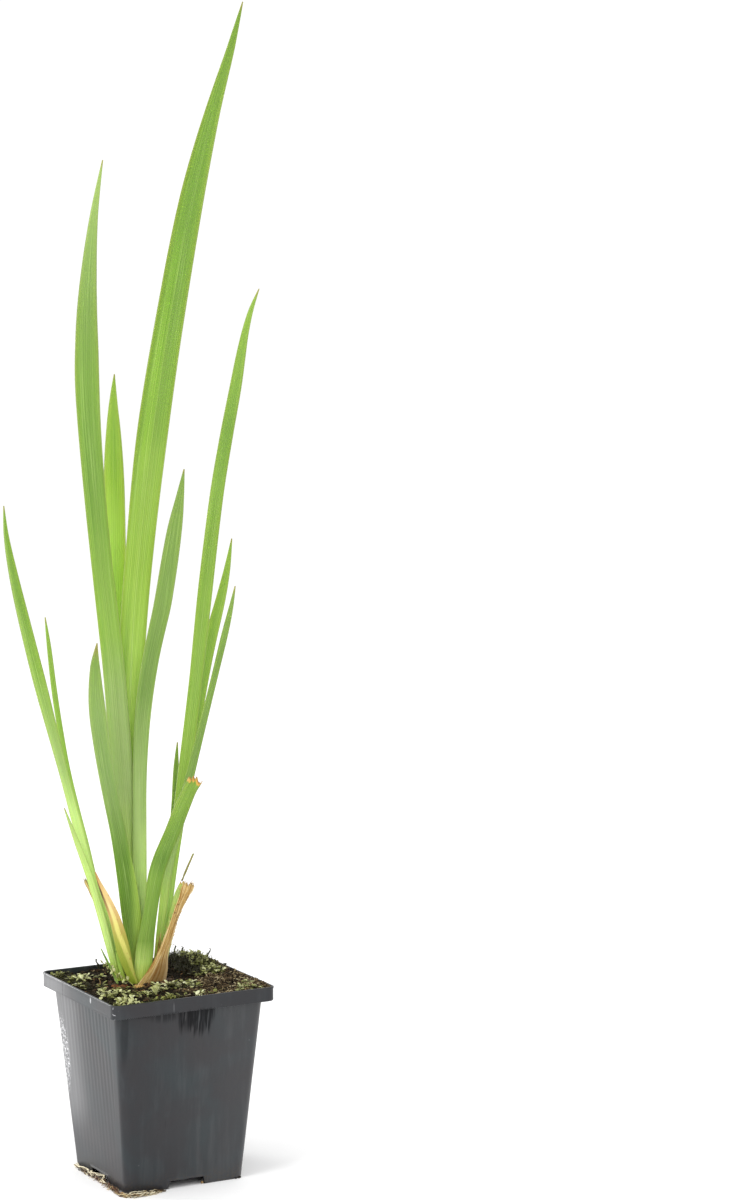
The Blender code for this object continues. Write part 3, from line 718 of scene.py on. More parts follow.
def capped(rings, size):
    """Faces of closed rings of points, with a cap on the first and on the last."""
    caps = [tuple(reversed(range(size))), tuple(range((rings - 1) * size, rings * size))]
    return ring_faces(rings, size) + caps


def tube(route, radii, sides):
    """Closed round strand along a route of points."""
    route = [Vector(point) for point in route]
    points = []
    side = None
    for i, here in enumerate(route):
        ahead = (route[min(i + 1, len(route) - 1)] - route[max(i - 1, 0)]).normalized()
        if side is None:
            side = ahead.orthogonal().normalized()
        side = (side - ahead * side.dot(ahead)).normalized()
        other = ahead.cross(side)
        for k in range(sides):
            angle = 2 * math.pi * k / sides
            points.append(here + (side * math.cos(angle) + other * math.sin(angle)) * radii[i])
    return points, capped(len(route), sides)


def through(knots, values, at):
    """Smooth curve through values at rising knots."""
    values = np.asarray(values, dtype=float)
    slopes = np.gradient(values, knots, axis=0)
    index = np.clip(np.searchsorted(knots, at) - 1, 0, len(knots) - 2)
    span = knots[index + 1] - knots[index]
    t = (at - knots[index]) / span
    if values.ndim > 1:
        span = span[:, None]
        t = t[:, None]
    start = values[index] * (1 + 2 * t) * (1 - t) ** 2 + slopes[index] * span * t * (1 - t) ** 2
    return start + values[index + 1] * t * t * (3 - 2 * t) - slopes[index + 1] * span * t * t * (1 - t)


def soft_step(value, low, high):
    """0 up to low and 1 from high on, with a smooth rise between."""
    t = np.clip((value - low) / (high - low), 0.0, 1.0)
    return t * t * (3 - 2 * t)


def solid_course(node):
    """Course of a blade's solid from its level rings: heights, centres, half widths, half thicknesses."""
    corners = np.array([vertex.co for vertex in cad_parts[node].data.vertices])
    corners = corners[np.argsort(corners[:, 2])]
    cuts = np.nonzero(np.diff(corners[:, 2]) > 0.05 * MM)[0] + 1
    heights, centres, halves, thicks = [], [], [], []
    for ring in np.split(corners, cuts):
        flat = ring[:, :2]
        gaps = ((flat[:, None] - flat[None]) ** 2).sum(2)
        one, other = divmod(int(gaps.argmax()), len(flat))
        half = (flat[other] - flat[one]) / 2
        if half @ ACROSS < 0:
            half = -half
        centre = (flat[one] + flat[other]) / 2
        out = np.array((half[1], -half[0])) / np.linalg.norm(half)
        heights.append(ring[0, 2])
        centres.append(centre)
        halves.append(half)
        thicks.append(abs((flat - centre) @ out).max())
    return np.array(heights), np.array(centres), np.array(halves), np.array(thicks)


# How a blade's skin is shaped where its look says nothing else
SINK = 3.0 * MM
SWAY = 0.35 * MM
RIB_HEIGHT = 0.12 * MM
TORN_REACH = 4.5 * MM
# A blade narrower than this has flatter veins, and a ragged end starts this far below the top
FULL_WIDTH = 5 * MM
RAGGED_REACH = 9 * MM
# How often a blade's edge waves along it, and points across a blade for each vein
SWAY_PITCH = 52.0
COLUMNS_PER_VEIN = 4
# Step between two rows of points on a green leaf
LEAF_ROW = 3.0 * MM


def blade_course(node, row_step, look):
    """Levels of a blade's skin, its centre, half width and half thickness at each, and its foot and top."""
    heights, centres, halves, thicks = solid_course(node)
    foot, top = heights[0], heights[-1]
    rows = max(14, round((top - foot) / row_step))
    levels = np.linspace(foot, top, rows + 1)
    levels = np.concatenate((levels[:-1], top - row_step * np.array((0.6, 0.3, 0.12, 0.0))))
    centre = through(heights, centres, levels)
    half = through(heights, halves, levels) * look.get("widen", 1.0)
    thick = through(heights, thicks, levels) * look.get("widen", 1.0)
    sink = look.get("sink", SINK)
    if sink:
        lean = (centre[1] - centre[0]) / (levels[1] - levels[0])
        levels = np.concatenate(([foot - sink], levels))
        centre = np.concatenate(([centre[0] - lean * sink], centre))
        half = np.concatenate(([half[0]], half))
        thick = np.concatenate(([thick[0]], thick))
    return levels, centre, half, thick, foot, top


def ragged_end(height, levels, sides, top, look):
    """Saw the top of a cut blade, and say how torn each of its points is."""
    drop, teeth, tilt = look["ragged"]
    saw = [noise.noise(Vector((side * teeth, look["seed"], 0.3))) for side in sides]
    saw = np.array(saw) * drop - sides * tilt - drop * 0.25
    near_end = soft_step(levels, top - RAGGED_REACH, top)[:, None]
    torn = soft_step(levels, top - look.get("torn", TORN_REACH), top)
    return height + saw * near_end, np.repeat(torn[:, None], len(sides), axis=1)


def blade_skin(node, row_step, pitch, relief, look):
    """Fine closed skin of a blade: points, faces and the fields that its finish reads."""
    levels, centre, half, thick, foot, top = blade_course(node, row_step, look)
    run = np.clip((levels - foot) / (top - foot), 0.0, 1.0)
    wide = 2 * np.linalg.norm(half, axis=1)
    veins = max(3, round(wide.max() / pitch))
    columns = max(8, veins * COLUMNS_PER_VEIN)
    front = np.linspace(-1.0, 1.0, columns + 1)
    sides = np.concatenate((front, front[-2:0:-1]))
    facing = np.concatenate((np.ones(columns + 1), -np.ones(columns - 1)))
    out = np.stack((half[:, 1], -half[:, 0]), axis=1) / (wide[:, None] / 2)
    lens = (1 - sides ** 2).clip(0) ** 0.8
    ridges = relief * np.cos(math.pi * veins * sides) * (1 - sides ** 2).clip(0) ** 0.5
    fade = np.clip(wide / FULL_WIDTH, 0.0, 1.0)[:, None]
    rib = look.get("rib_height", RIB_HEIGHT) * np.exp(-(sides / KEEL) ** 2)
    swell = thick[:, None] * lens + fade * (ridges + rib * (1 - run[:, None]))
    sway = look.get("sway", SWAY) * np.sin(levels * SWAY_PITCH + look["seed"])[:, None] * sides * fade
    proud = facing * swell + sway
    flat = centre[:, None] + half[:, None] * sides[None, :, None] + out[:, None] * proud[:, :, None]
    height = np.repeat(levels[:, None], len(sides), axis=1)
    torn = np.zeros_like(height)
    if "ragged" in look:
        height, torn = ragged_end(height, levels, sides, top, look)
    points = np.concatenate((flat, height[:, :, None]), axis=2).reshape(-1, 3)
    size = len(sides)
    faces = ring_faces(len(levels), size)
    last = (len(levels) - 1) * size
    for c in range(columns):
        back = [(size - k) % size for k in (c, c + 1)]
        low = [c, back[0], back[1], c + 1]
        high = [last + c, last + c + 1, last + back[1], last + back[0]]
        faces.append(tuple(dict.fromkeys(low)))
        faces.append(tuple(dict.fromkeys(high)))
    fields = {
        "side": np.tile(sides, len(levels)),
        "run": np.repeat(run, size),
        "torn": torn.ravel(),
    }
    return points, faces, fields, veins


def make_blade(node, name, course, look, finish):
    """A blade's skin as a piece. Its finish is a material, or the name of a leaf finish of its own. Its
    course is the step between rows, the distance between veins and their height."""
    points, faces, fields, veins = blade_skin(node, *course, look)
    if isinstance(finish, str):
        finish = leaf_finish(finish, look, veins)
    make_piece(name, points, faces, finish, (node,), fields)


def soil_height(x, y):
    """The peat's surface without its crumbs: as in the solids, and heaped a little against the right wall."""
    across, away, high, spread = MOUND
    reach = (x - across) ** 2 + (y - away) ** 2
    lumps = 0.35 * MM * math.sin(x / (5.1 * MM) + 0.7) * math.sin(y / (4.3 * MM) + 1.9) - 0.25 * MM
    heaped = WALL_HEAP * math.exp(-((SOIL_HALF - x) / (2.6 * MM)) ** 2) * (1 - soft_step(y, 14 * MM, 30 * MM))
    return SOIL_LEVEL + high * math.exp(-reach / (2 * spread ** 2)) + lumps + heaped


def crumbly(x, y):
    """Height of the crumbs on the peat at a place."""
    coarse = noise.noise(Vector((x, y, 0.0)) * 260.0)
    middle = noise.noise(Vector((x, y, 0.01)) * 620.0)
    fine = noise.noise(Vector((x, y, 0.02)) * 1400.0)
    return (0.75 * coarse + 0.5 * middle + 0.28 * fine) * MM


def in_crown(x, y, grow):
    """Whether a place lies in the rhizome's outline, grown by a length."""
    across = x * ACROSS[0] + y * ACROSS[1] - CROWN_CENTRE[0]
    away = x * AWAY[0] + y * AWAY[1] - CROWN_CENTRE[1]
    return (across / (CROWN_HALF[0] + grow)) ** 2 + (away / (CROWN_HALF[1] + grow)) ** 2 < 1.0


# Pot

def sheen(quarter, x, y, height, half):
    """How much painted light, dust and shine the wall gets, standing in for the light on it: least beside the
    front corner, more towards the left face's back edge and the front face's right end.
    """
    if quarter == 2:
        back = (y + half) / (2 * half)
        bright = 0.9 * soft_step(back, 0.4, 0.9) * soft_step(height, 8 * MM, 42 * MM)
        return 0.6 + 0.25 * back + bright
    if quarter == 3:
        if height > POT_HEIGHT - RIM_BAND:
            return 0.62
        return 0.60 + 0.42 * soft_step(x + half, 0.0, 1.9 * half)
    return 1.0


def wall_relief(quarter, place, half, straight, height, settings):
    """A flute's share and how far the wall is pushed out at a place, with warp and notch lips."""
    plain = straight - PLAIN_STRIP
    inner = 1.0 - soft_step(abs(place), plain + 4 * MM, plain + 5 * MM)
    rise = soft_step(height, 7 * MM, 14 * MM)
    worn = 0.3 + 0.7 * soft_step(height, 25 * MM, 85 * MM)
    flute = (0.5 - 0.5 * math.cos(2 * math.pi * place / settings.flute_pitch)) * inner * rise * worn
    bulge, ripple = warp_of(quarter, place, height)
    push = settings.warp * (bulge + 0.25 * ripple) * (1 - (place / half) ** 2)
    reach = max(abs(place) - NOTCH_HALF, height - NOTCH_HEIGHT)
    push += 0.3 * MM * math.exp(-((reach - 0.5 * MM) / (0.5 * MM)) ** 2)
    return flute, push


def warp_of(quarter, place, height):
    """Broad bulge and fine ripple of a thin wall at a place."""
    bulge = noise.noise(Vector((quarter * 7.3, place * 26.0, height * 22.0)))
    ripple = noise.noise(Vector((quarter * 3.1, place * 120.0, height * 90.0)))
    return bulge, ripple


def pot_outline(half, corner, height, settings, kind):
    """One level outline of the pot as (x, y, height, flute, sheen): fluted and warped on its wall, only
    warped on the rim's band."""
    outline = []
    straight = half - corner
    for quarter in range(4):
        turn = math.radians(90.0 * quarter)
        along = np.array((-math.sin(turn), math.cos(turn)))
        outward = np.array((math.cos(turn), math.sin(turn)))
        for step in range(POT_STEPS):
            place = straight * (2.0 * step / POT_STEPS - 1.0)
            flute = 0.0
            push = 0.0
            if kind == "wall":
                flute, push = wall_relief(quarter, place, half, straight, height, settings)
            elif kind == "band":
                bulge, ripple = warp_of(quarter, place, height)
                push = 0.5 * settings.warp * (bulge + 0.3 * ripple)
            out = half - flute * settings.flute_depth + push
            x, y = outward * out + along * place
            outline.append((x, y, height, flute, sheen(quarter, x, y, height, half)))
        for step in range(CORNER_STEPS):
            angle = turn + math.radians(90.0) * (step + 0.5) / CORNER_STEPS
            centre = (outward + along) * straight
            x = centre[0] + corner * math.cos(angle)
            y = centre[1] + corner * math.sin(angle)
            side = (quarter + (step > CORNER_STEPS / 2)) % 4
            outline.append((x, y, height, 0.0, sheen(side, x, y, height, half)))
    return outline


def block(low, high):
    """Plain box for cutting."""
    corners = [(x, y, z) for z in (low[2], high[2])
               for x, y in ((low[0], low[1]), (high[0], low[1]), (high[0], high[1]), (low[0], high[1]))]
    faces = [(3, 2, 1, 0), (4, 5, 6, 7)] + [(i, (i + 1) % 4, (i + 1) % 4 + 4, i + 4) for i in range(4)]
    return corners, faces


def disc(x, y, radius, low, high, sides):
    """Round post for cutting and joining."""
    angles = [2 * math.pi * i / sides for i in range(sides)]
    ring = [(x + radius * math.cos(angle), y + radius * math.sin(angle)) for angle in angles]
    points = [(px, py, z) for z in (low, high) for px, py in ring]
    return points, capped(2, sides)


def helper_object(name, shapes):
    """Shapes for one Boolean, joined into one mesh."""
    points = []
    faces = []
    for shape_points, shape_faces in shapes:
        first = len(points)
        points += shape_points
        faces += [tuple(first + index for index in face) for face in shape_faces]
    mesh = bpy.data.meshes.new(name)
    mesh.from_pydata(points, [], faces)
    made = bpy.data.objects.new(name, mesh)
    bpy.context.scene.collection.objects.link(made)
    return made


def carve(piece, name, shapes, operation):
    """Apply one exact Boolean to a piece and drop its helper."""
    other = helper_object(name, shapes)
    cut = piece.modifiers.new(name, "BOOLEAN")
    cut.operation = operation
    cut.solver = "EXACT"
    cut.object = other
    graph = bpy.context.evaluated_depsgraph_get()
    mesh = bpy.data.meshes.new_from_object(piece.evaluated_get(graph), depsgraph=graph)
    piece.modifiers.clear()
    old = piece.data
    piece.data = mesh
    bpy.data.meshes.remove(old)
    bpy.data.objects.remove(other, do_unlink=True)


def rim_marks(points, band_low):
    """Two small marks on the rim's band, where its moulding joins."""
    for i, (x, y, z) in enumerate(points):
        for mark_x, mark_y in RIM_MARKS:
            near = math.hypot(x - mark_x, y - mark_y)
            if near < 1.6 * MM and z > band_low:
                dent = 0.22 * MM * math.exp(-(near / (0.5 * MM)) ** 2)
                scale = 1.0 - dent / RIM_HALF
                points[i] = (x * scale if abs(x) > abs(y) else x, y * scale if abs(y) > abs(x) else y, z)


def pot_levels():
    """The pot's outlines from the floor's underside over the rim to the floor inside, as
    (half width, corner radius, height, kind)."""
    rim_low = POT_HEIGHT - RIM_BAND
    ledge = rim_low + WALL
    rim_in = RIM_HALF - WALL
    levels = [(BASE_HALF - WALL, BODY_CORNER - WALL, FLOOR_BOTTOM, "plain"),
              (BASE_HALF - WALL, BODY_CORNER - WALL, 0.0, "plain"),
              (BASE_HALF - 0.35 * MM, BODY_CORNER - 0.35 * MM, 0.0, "plain"),
              (BASE_HALF, BODY_CORNER, 0.35 * MM, "plain")]
    low_levels = np.arange(0.9, 8.0, 0.5) * MM
    high_levels = np.linspace(8.0 * MM, rim_low, WALL_LEVELS)
    for z in np.concatenate((low_levels, high_levels)):
        levels.append((BASE_HALF + TAPER * z, BODY_CORNER, float(z), "wall"))
    levels += [(RIM_HALF - 0.9 * MM, RIM_CORNER - 0.5 * MM, rim_low + 0.02 * MM, "plain"),
               (RIM_HALF - 0.35 * MM, RIM_CORNER - 0.1 * MM, rim_low + 0.2 * MM, "plain"),
               (RIM_HALF - 0.18 * MM, RIM_CORNER, rim_low + 0.7 * MM, "plain")]
    for z in np.linspace(1.5 * MM, 5.9 * MM, 6):
        levels.append((RIM_HALF - 0.22 * MM, RIM_CORNER, float(rim_low + z), "band"))
    levels += [(RIM_HALF - 0.05 * MM, RIM_CORNER, POT_HEIGHT - 0.9 * MM, "plain"),
               (RIM_HALF, RIM_CORNER, POT_HEIGHT - 0.5 * MM, "plain"),
               (RIM_HALF - 0.1 * MM, RIM_CORNER - 0.1 * MM, POT_HEIGHT - 0.15 * MM, "plain"),
               (RIM_HALF - 0.4 * MM, RIM_CORNER - 0.4 * MM, POT_HEIGHT, "plain"),
               (rim_in + 0.25 * MM, RIM_CORNER - WALL, POT_HEIGHT - 0.02 * MM, "plain"),
               (rim_in, RIM_CORNER - WALL, POT_HEIGHT - 0.25 * MM, "plain"),
               (rim_in - 0.2 * MM, RIM_CORNER - WALL, ledge, "plain")]
    for z in (ledge, 60.0 * MM, 30.0 * MM, FLOOR_TOP):
        levels.append((BASE_HALF + TAPER * z - WALL, BODY_CORNER - WALL, z, "plain"))
    return levels


def notches_and_drains():
    """Shapes of the notch in each lower edge and of the drain hole near each corner."""
    cuts = []
    outside = BASE_HALF + 1.5 * MM
    inside = BASE_HALF - NOTCH_DEPTH
    for turn in range(4):
        spin = Matrix.Rotation(math.radians(90 * turn), 3, "Z")
        shape, shape_faces = block((inside, -NOTCH_HALF, -1 * MM), (outside, NOTCH_HALF, NOTCH_HEIGHT))
        shape = [(x, y - math.copysign(NOTCH_SLANT if z > 0 else 0.0, y), z) for x, y, z in shape]
        cuts.append(([tuple(spin @ Vector(point)) for point in shape], shape_faces))
        hole = spin @ Vector((DRAIN_OFFSET, DRAIN_OFFSET, 0.0))
        cuts.append(disc(hole.x, hole.y, DRAIN, FLOOR_BOTTOM - 2 * MM, FLOOR_TOP + 2 * MM, DRAIN_SIDES))
    return cuts


def make_pot():
    """The moulded pot, with its centre foot joined on and its notches and drains cut out."""
    settings = bpy.context.scene.iris_pot
    levels = pot_levels()
    rows = []
    for half, corner, height, kind in levels:
        rows += pot_outline(half, corner, height, settings, kind)
    points = [row[:3] for row in rows]
    fields = {"flute": [row[3] for row in rows], "sheen": [row[4] for row in rows]}
    rim_marks(points, POT_HEIGHT - RIM_BAND)
    faces = capped(len(levels), 4 * (POT_STEPS + CORNER_STEPS))
    pot = make_piece("pot_moulding", points, faces, plastic_finish(), ("pot",), fields)
    foot = disc(0.0, 0.0, CENTRE_FOOT, 0.0, (FLOOR_BOTTOM + FLOOR_TOP) / 2, FOOT_SIDES)
    carve(pot, "centre_foot", [foot], "UNION")
    carve(pot, "notches_and_drains", notches_and_drains(), "DIFFERENCE")
    pot.data.shade_smooth()
    pot.data.set_sharp_from_angle(angle=math.radians(SHARP_ANGLE))


# Peat and rhizome

def make_peat():
    """Closed block of peat with a crumbly top."""
    settings = bpy.context.scene.iris_peat
    cells = SOIL_CELLS
    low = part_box("soil")[0].z
    points = []
    for row in range(cells + 1):
        for column in range(cells + 1):
            u = 2.0 * column / cells - 1.0
            v = 2.0 * row / cells - 1.0
            pull = 1.0 - SOIL_CORNER_PULL * (u * v) ** 8
            x = SOIL_HALF * u * pull
            y = SOIL_HALF * v * pull
            edge = soft_step(1.0 - max(abs(u), abs(v)), 0.0, 0.05)
            z = soil_height(x, y) + crumbly(x, y) - 0.4 * MM * (1 - edge)
            if in_crown(x, y, 0.6 * MM):
                z = min(z, CROWN_TOP - 2.2 * MM)
            points.append((x, y, z))
    count = cells + 1
    faces = []
    for row in range(cells):
        for column in range(cells):
            corner = row * count + column
            faces.append((corner, corner + 1, corner + count + 1, corner + count))
    rim = list(range(count)) + [row * count + cells for row in range(1, count)]
    rim += [cells * count + column for column in range(cells - 1, -1, -1)]
    rim += [row * count for row in range(cells - 1, 0, -1)]
    ledge = POT_HEIGHT - RIM_BAND + WALL + 0.3 * MM
    inside = BASE_HALF - WALL - SOIL_GAP
    above = rim
    for half, height in ((SOIL_HALF, ledge), (inside + TAPER * ledge, ledge), (inside + TAPER * low, low)):
        first = len(points)
        shrink = half / SOIL_HALF
        points += [(points[i][0] * shrink, points[i][1] * shrink, height) for i in rim]
        below = list(range(first, len(points)))
        for i in range(len(rim)):
            j = (i + 1) % len(rim)
            faces.append((above[j], above[i], below[i], below[j]))
        above = below
    faces.append(tuple(reversed(above)))
    finish = peat_finish("peat_looks", settings.peat, settings.crumb)
    make_piece("peat_bed", points, faces, finish, ("soil",))


def crumb_shape(rounds):
    """Points and faces of a small ball."""
    ball = bmesh.new()
    bmesh.ops.create_icosphere(ball, subdivisions=rounds, radius=1.0)
    points = [vertex.co.copy() for vertex in ball.verts]
    faces = [tuple(vertex.index for vertex in face.verts) for face in ball.faces]
    ball.free()
    return points, faces


CRUMB_TONES = (0.03, 0.08, 0.14, 0.2, 0.3, 0.48)
CHIP_TONES = (0.7, 0.78, 0.5)
FIBRE_TONES = (0.1, 0.3, 0.5, 0.62, 0.95)
FIBRES = 260
# Every so many crumbs, one is a chip in the heap beside the crown
CHIP_EVERY = 60
# Grit at the foot of the pot's front, as (x, y, size, tone) with lengths in millimetres
GRIT = ((9.2, -31.6, 0.7, 1.0), (29.5, -32.6, 0.5, 0.2), (27.6, -33.0, 0.4, 0.2), (30.6, -31.9, 0.45, 0.2))


def crumb(heap, draw, ball, x, y, size):
    """One lumpy crumb or chip on the peat or the crown."""
    seed = draw.uniform(0, 90)
    turn = Matrix.Rotation(draw.uniform(0, math.tau), 3, "Z")
    turn = turn @ Matrix.Rotation(draw.uniform(-0.6, 0.6), 3, "X")
    flat = Vector((1.0, draw.uniform(0.55, 1.0), draw.uniform(0.4, 0.8))) * size
    bed = soil_height(x, y) + crumbly(x, y)
    if in_crown(x, y, 0.5 * MM):
        bed = max(bed, CROWN_TOP)
    base = Vector((x, y, bed + size * 0.2))
    points, faces = ball
    shaped = []
    for point in points:
        lump = 1.0 + 0.45 * noise.noise(point * 1.4 + Vector((seed, 0, 0)))
        bit = Vector((point.x * flat.x, point.y * flat.y, point.z * flat.z)) * lump
        shaped.append(base + turn @ bit)
    chips = math.hypot(x - CHIPS_PLACE[0], y - CHIPS_PLACE[1]) < 4.5 * MM
    tone = draw.choice(CHIP_TONES if chips else CRUMB_TONES)
    heap.add(shaped, faces, tone + draw.uniform(-0.04, 0.04))


def make_crumbs():
    """Loose crumbs, chips and short bits of fibre on the peat, a dead stalk, and grit at the pot's foot."""
    settings = bpy.context.scene.iris_peat
    draw = random.Random(11)
    heap = Heap()
    fine = crumb_shape(2)
    plain = crumb_shape(1)
    spread = SOIL_HALF - 1.2 * MM
    for made in range(settings.crumbs):
        x = draw.uniform(-spread, spread)
        y = draw.uniform(-spread, spread)
        size = settings.crumb_size * draw.choice((0.45, 0.6, 0.8, 1.0, 1.4)) * draw.uniform(0.8, 1.2)
        if made % CHIP_EVERY == 0:
            x = CHIPS_PLACE[0] + draw.uniform(-CHIPS_REACH, CHIPS_REACH) * MM
            y = CHIPS_PLACE[1] + draw.uniform(-CHIPS_REACH, CHIPS_REACH) * MM
            size = settings.crumb_size * draw.uniform(1.4, 2.2)
        crumb(heap, draw, fine if size > 0.9 * MM else plain, x, y, size)
    for _ in range(FIBRES):
        x = draw.uniform(-spread, spread)
        y = draw.uniform(-spread, spread)
        if in_crown(x, y, 0.0):
            continue
        route = curled(draw, x, y, draw.uniform(1.5, 5.0) * MM, draw.uniform(0.2, 1.0) * MM,
                       draw.uniform(-1.2, 1.2))
        heap.add(*tube(route, [draw.uniform(0.08, 0.18) * MM] * 7, 4), draw.choice(FIBRE_TONES))
    x, y = STALK_PLACE
    stalk = [(x + 1.6 * MM * math.sin(2.6 * t), y, SOIL_LEVEL + 4.2 * MM * t)
             for t in np.linspace(0.0, 1.0, 9)]
    heap.add(*tube(stalk, [0.22 * MM] * 8 + [0.1 * MM], 6), 1.0)
    for x, y, size, tone in GRIT:
        grain = [Vector((x * MM, y * MM, size * MM)) + point * size * MM for point in fine[0]]
        heap.add(grain, fine[1], tone)
    stops = [(0.0, settings.peat), (0.25, blend(settings.peat, settings.crumb, 0.5)),
             (0.5, settings.crumb), (0.8, settings.chip), (1.0, (0.30, 0.20, 0.09))]
    heap.piece("peat_crumbs", shaded_finish("peat_crumb_looks", stops, 0.85, 900.0, 0.08), "peat")


def make_rhizome():
    """Lumpy top of the rhizome, sunk into the peat."""
    points = []
    for shrink, drop in CROWN_PROFILE:
        for i in range(CROWN_SIDES):
            angle = math.tau * i / CROWN_SIDES
            lump = 1.0 + 0.035 * math.sin(3 * angle + 0.6) + 0.02 * math.sin(7 * angle)
            grow = shrink * lump
            across = CROWN_CENTRE[0] + CROWN_HALF[0] * grow * math.cos(angle)
            away = CROWN_CENTRE[1] + CROWN_HALF[1] * grow * math.sin(angle)
            x, y = across * ACROSS + away * AWAY
            z = CROWN_TOP + drop * MM
            place = Vector((x, y, z))
            rough = noise.noise(place * 330.0) * 0.5 * MM + noise.noise(place * 900.0) * 0.2 * MM
            points.append((x + rough * math.cos(angle), y + rough * math.sin(angle), z + rough * 0.8))
    faces = capped(len(CROWN_PROFILE), CROWN_SIDES)
    make_piece("rhizome_top", points, faces, rhizome_finish(), ("rhizome",))


# Leaves

# Each blade's tints run from its foot to its point; the brighter, glowing greens low on the blades are
# painted light that comes through them.
# A stripe is its side, its half width, the run where it starts and ends, and what it does to the colour.
LEAF_LOOKS = {
    "tall_leaf": {"seed": 1.0, "rib": 0.2, "tip_from": 0.985,
                  # Painted light and shade: a lighter band left of the middle, a shaded left edge and a
                  # glowing band low down
                  "stripes": [(-0.3, 0.42, 0.50, 0.80, (1.18, 1.19, 0.97)),
                              (-0.95, 0.35, 0.45, 0.97, (0.80, 0.84, 0.74)),
                              (0.0, 0.5, 0.22, 0.38, (1.33, 1.26, 1.5))],
                  "tints": [(0.0, "foot"), (0.10, "fold"), (0.22, "bright"), (0.34, "bright"), (0.43, "glow"),
                            (0.58, "mid"), (0.76, "upper"), (0.95, "upper")]},
    "left_leaf": {"seed": 2.0, "rib": 0.1, "tip_from": 0.985,
                  "tints": [(0.0, "foot"), (0.08, "fold"), (0.15, "fold"), (0.24, "sage"), (0.36, "sage"),
                            (0.43, "light"), (0.49, "mid"), (0.62, "upper"), (0.72, "upper"), (0.82, "grey"),
                            (0.90, "soft"), (1.0, "sage")]},
    "back_leaf": {"seed": 3.0, "rib": 0.1, "tip_from": 0.985,
                  "tints": [(0.0, "foot"), (0.2, "bright"), (0.73, "bright"), (0.82, "glow"), (0.90, "light"),
                            (0.97, "light")]},
    "middle_leaf": {"seed": 4.0, "rib": 0.05, "tip_from": 0.985, "margin": 0.3,
                    "tints": [(0.0, "foot"), (0.08, "fold"), (0.15, "pale"), (0.22, "pale"), (0.32, "sage"),
                              (0.57, "grey"), (0.9, "grey")]},
    "short_curved_leaf": {"seed": 5.0, "rib": 0.0, "tip_from": 0.94, "margin": 0.3,
                          "pale": (1, -0.35, 3.2, 0.5),
                          "tints": [(0.0, "foot"), (0.10, "mid"), (0.22, "olive"), (0.36, "olive"),
                                    (0.50, "grey"), (0.60, "soft"), (0.78, "soft"), (0.95, "grey")]},
    "far_left_leaf": {"seed": 6.0, "left_light": 0.1, "rib": 0.1, "tip_from": 0.98,
                      "tints": [(0.0, "sage"), (0.10, "pale"), (0.34, "pale"), (0.46, "sage"), (0.66, "mid"),
                                (0.80, "upper")]},
    "thin_left_leaf": {"seed": 7.0, "tip_from": 0.97,
                       "tints": [(0.0, "foot"), (0.2, "pale"), (0.6, "light"), (0.9, "mid")]},
    "short_left_leaf": {"seed": 8.0, "tip_from": 0.96,
                        "tints": [(0.0, "foot"), (0.2, "pale"), (0.62, "pale"), (0.95, "sage")]},
    "right_long_leaf": {"seed": 9.0, "right_shade": 0.05, "rib": 0.1, "tip_from": 0.98,
                        "tints": [(0.0, "foot"), (0.11, "pale"), (0.17, "bright"), (0.24, "glow"),
                                  (0.42, "light"), (0.55, "light"), (0.65, "mid"), (0.80, "upper"),
                                  (1.0, "mid")]},
    "right_second_leaf": {"seed": 10.0, "tip_from": 0.98,
                          "tints": [(0.0, "foot"), (0.2, "bright"), (0.4, "light"), (0.87, "mid")]},
    "right_dark_leaf": {"seed": 11.0, "tip_from": 0.97,
                        "tints": [(0.0, "fold"), (0.19, "fold"), (0.28, "sage"), (0.5, "grey"),
                                  (0.9, "grey")]},
    "right_small_leaf": {"seed": 12.0, "tip_from": 0.96,
                         "tints": [(0.0, "light"), (0.4, "grey"), (0.9, "grey")]},
    "cut_leaf": {"seed": 13.0, "rib": 0.05, "ragged": (3.2 * MM, 3.1, 1.3 * MM), "margin": 0.6,
                 "right_shade": 0.55,
                 "tints": [(0.0, "foot"), (0.10, "fold"), (0.20, "mid"), (0.50, "mid"), (0.60, "upper"),
                           (0.88, "mid")]},
    "green_stub": {"seed": 14.0, "ragged": (1.4 * MM, 2.3, 0.2 * MM), "torn": 1.6 * MM,
                   "tints": [(0.0, "foot"), (0.3, "bright"), (0.9, "pale")]},
    "base_shoot": {"seed": 15.0, "tints": [(0.0, "foot"), (0.4, "bright"), (0.9, "bright")]},
}


def make_leaves():
    """The green blades, each with a skin and a finish of its own."""
    pick = bpy.context.scene.iris_leaves
    course = (LEAF_ROW, pick.vein_spacing, pick.vein_height)
    for node, look in LEAF_LOOKS.items():
        make_blade(node, node + "_blade", course, look, node + "_looks")


# Courses and looks of the dead leaf bases and of the loose fibre
YELLOW_COURSE = (1.2 * MM, 0.9 * MM, 0.07 * MM)
PAPER_COURSE = (0.9 * MM, 0.7 * MM, 0.09 * MM)
FIBRE_COURSE = (0.9 * MM, 0.7 * MM, 0.0)
YELLOW_LOOK = {"seed": 21.0, "sway": 0.2 * MM, "rib_height": 0.25 * MM}
PAPER_LOOKS = {
    "papery_sheath": {"seed": 22.0, "sway": 0.5 * MM, "rib_height": 0.0, "ragged": (2.2 * MM, 6.0, 1.0 * MM)},
    "dry_stub": {"seed": 23.0, "sway": 0.2 * MM, "rib_height": 0.0, "ragged": (3.0 * MM, 2.5, 0.0)},
}
FIBRE_LOOK = {"seed": 24.0, "sway": 0.0, "rib_height": 0.0, "sink": 0.0, "widen": 1.9,
              "tints": [(0.0, "tip"), (1.0, "tip")]}
FRINGE_STRANDS = 64
GAP_STRANDS = 9
GAP_FOOT = 99.5 * MM


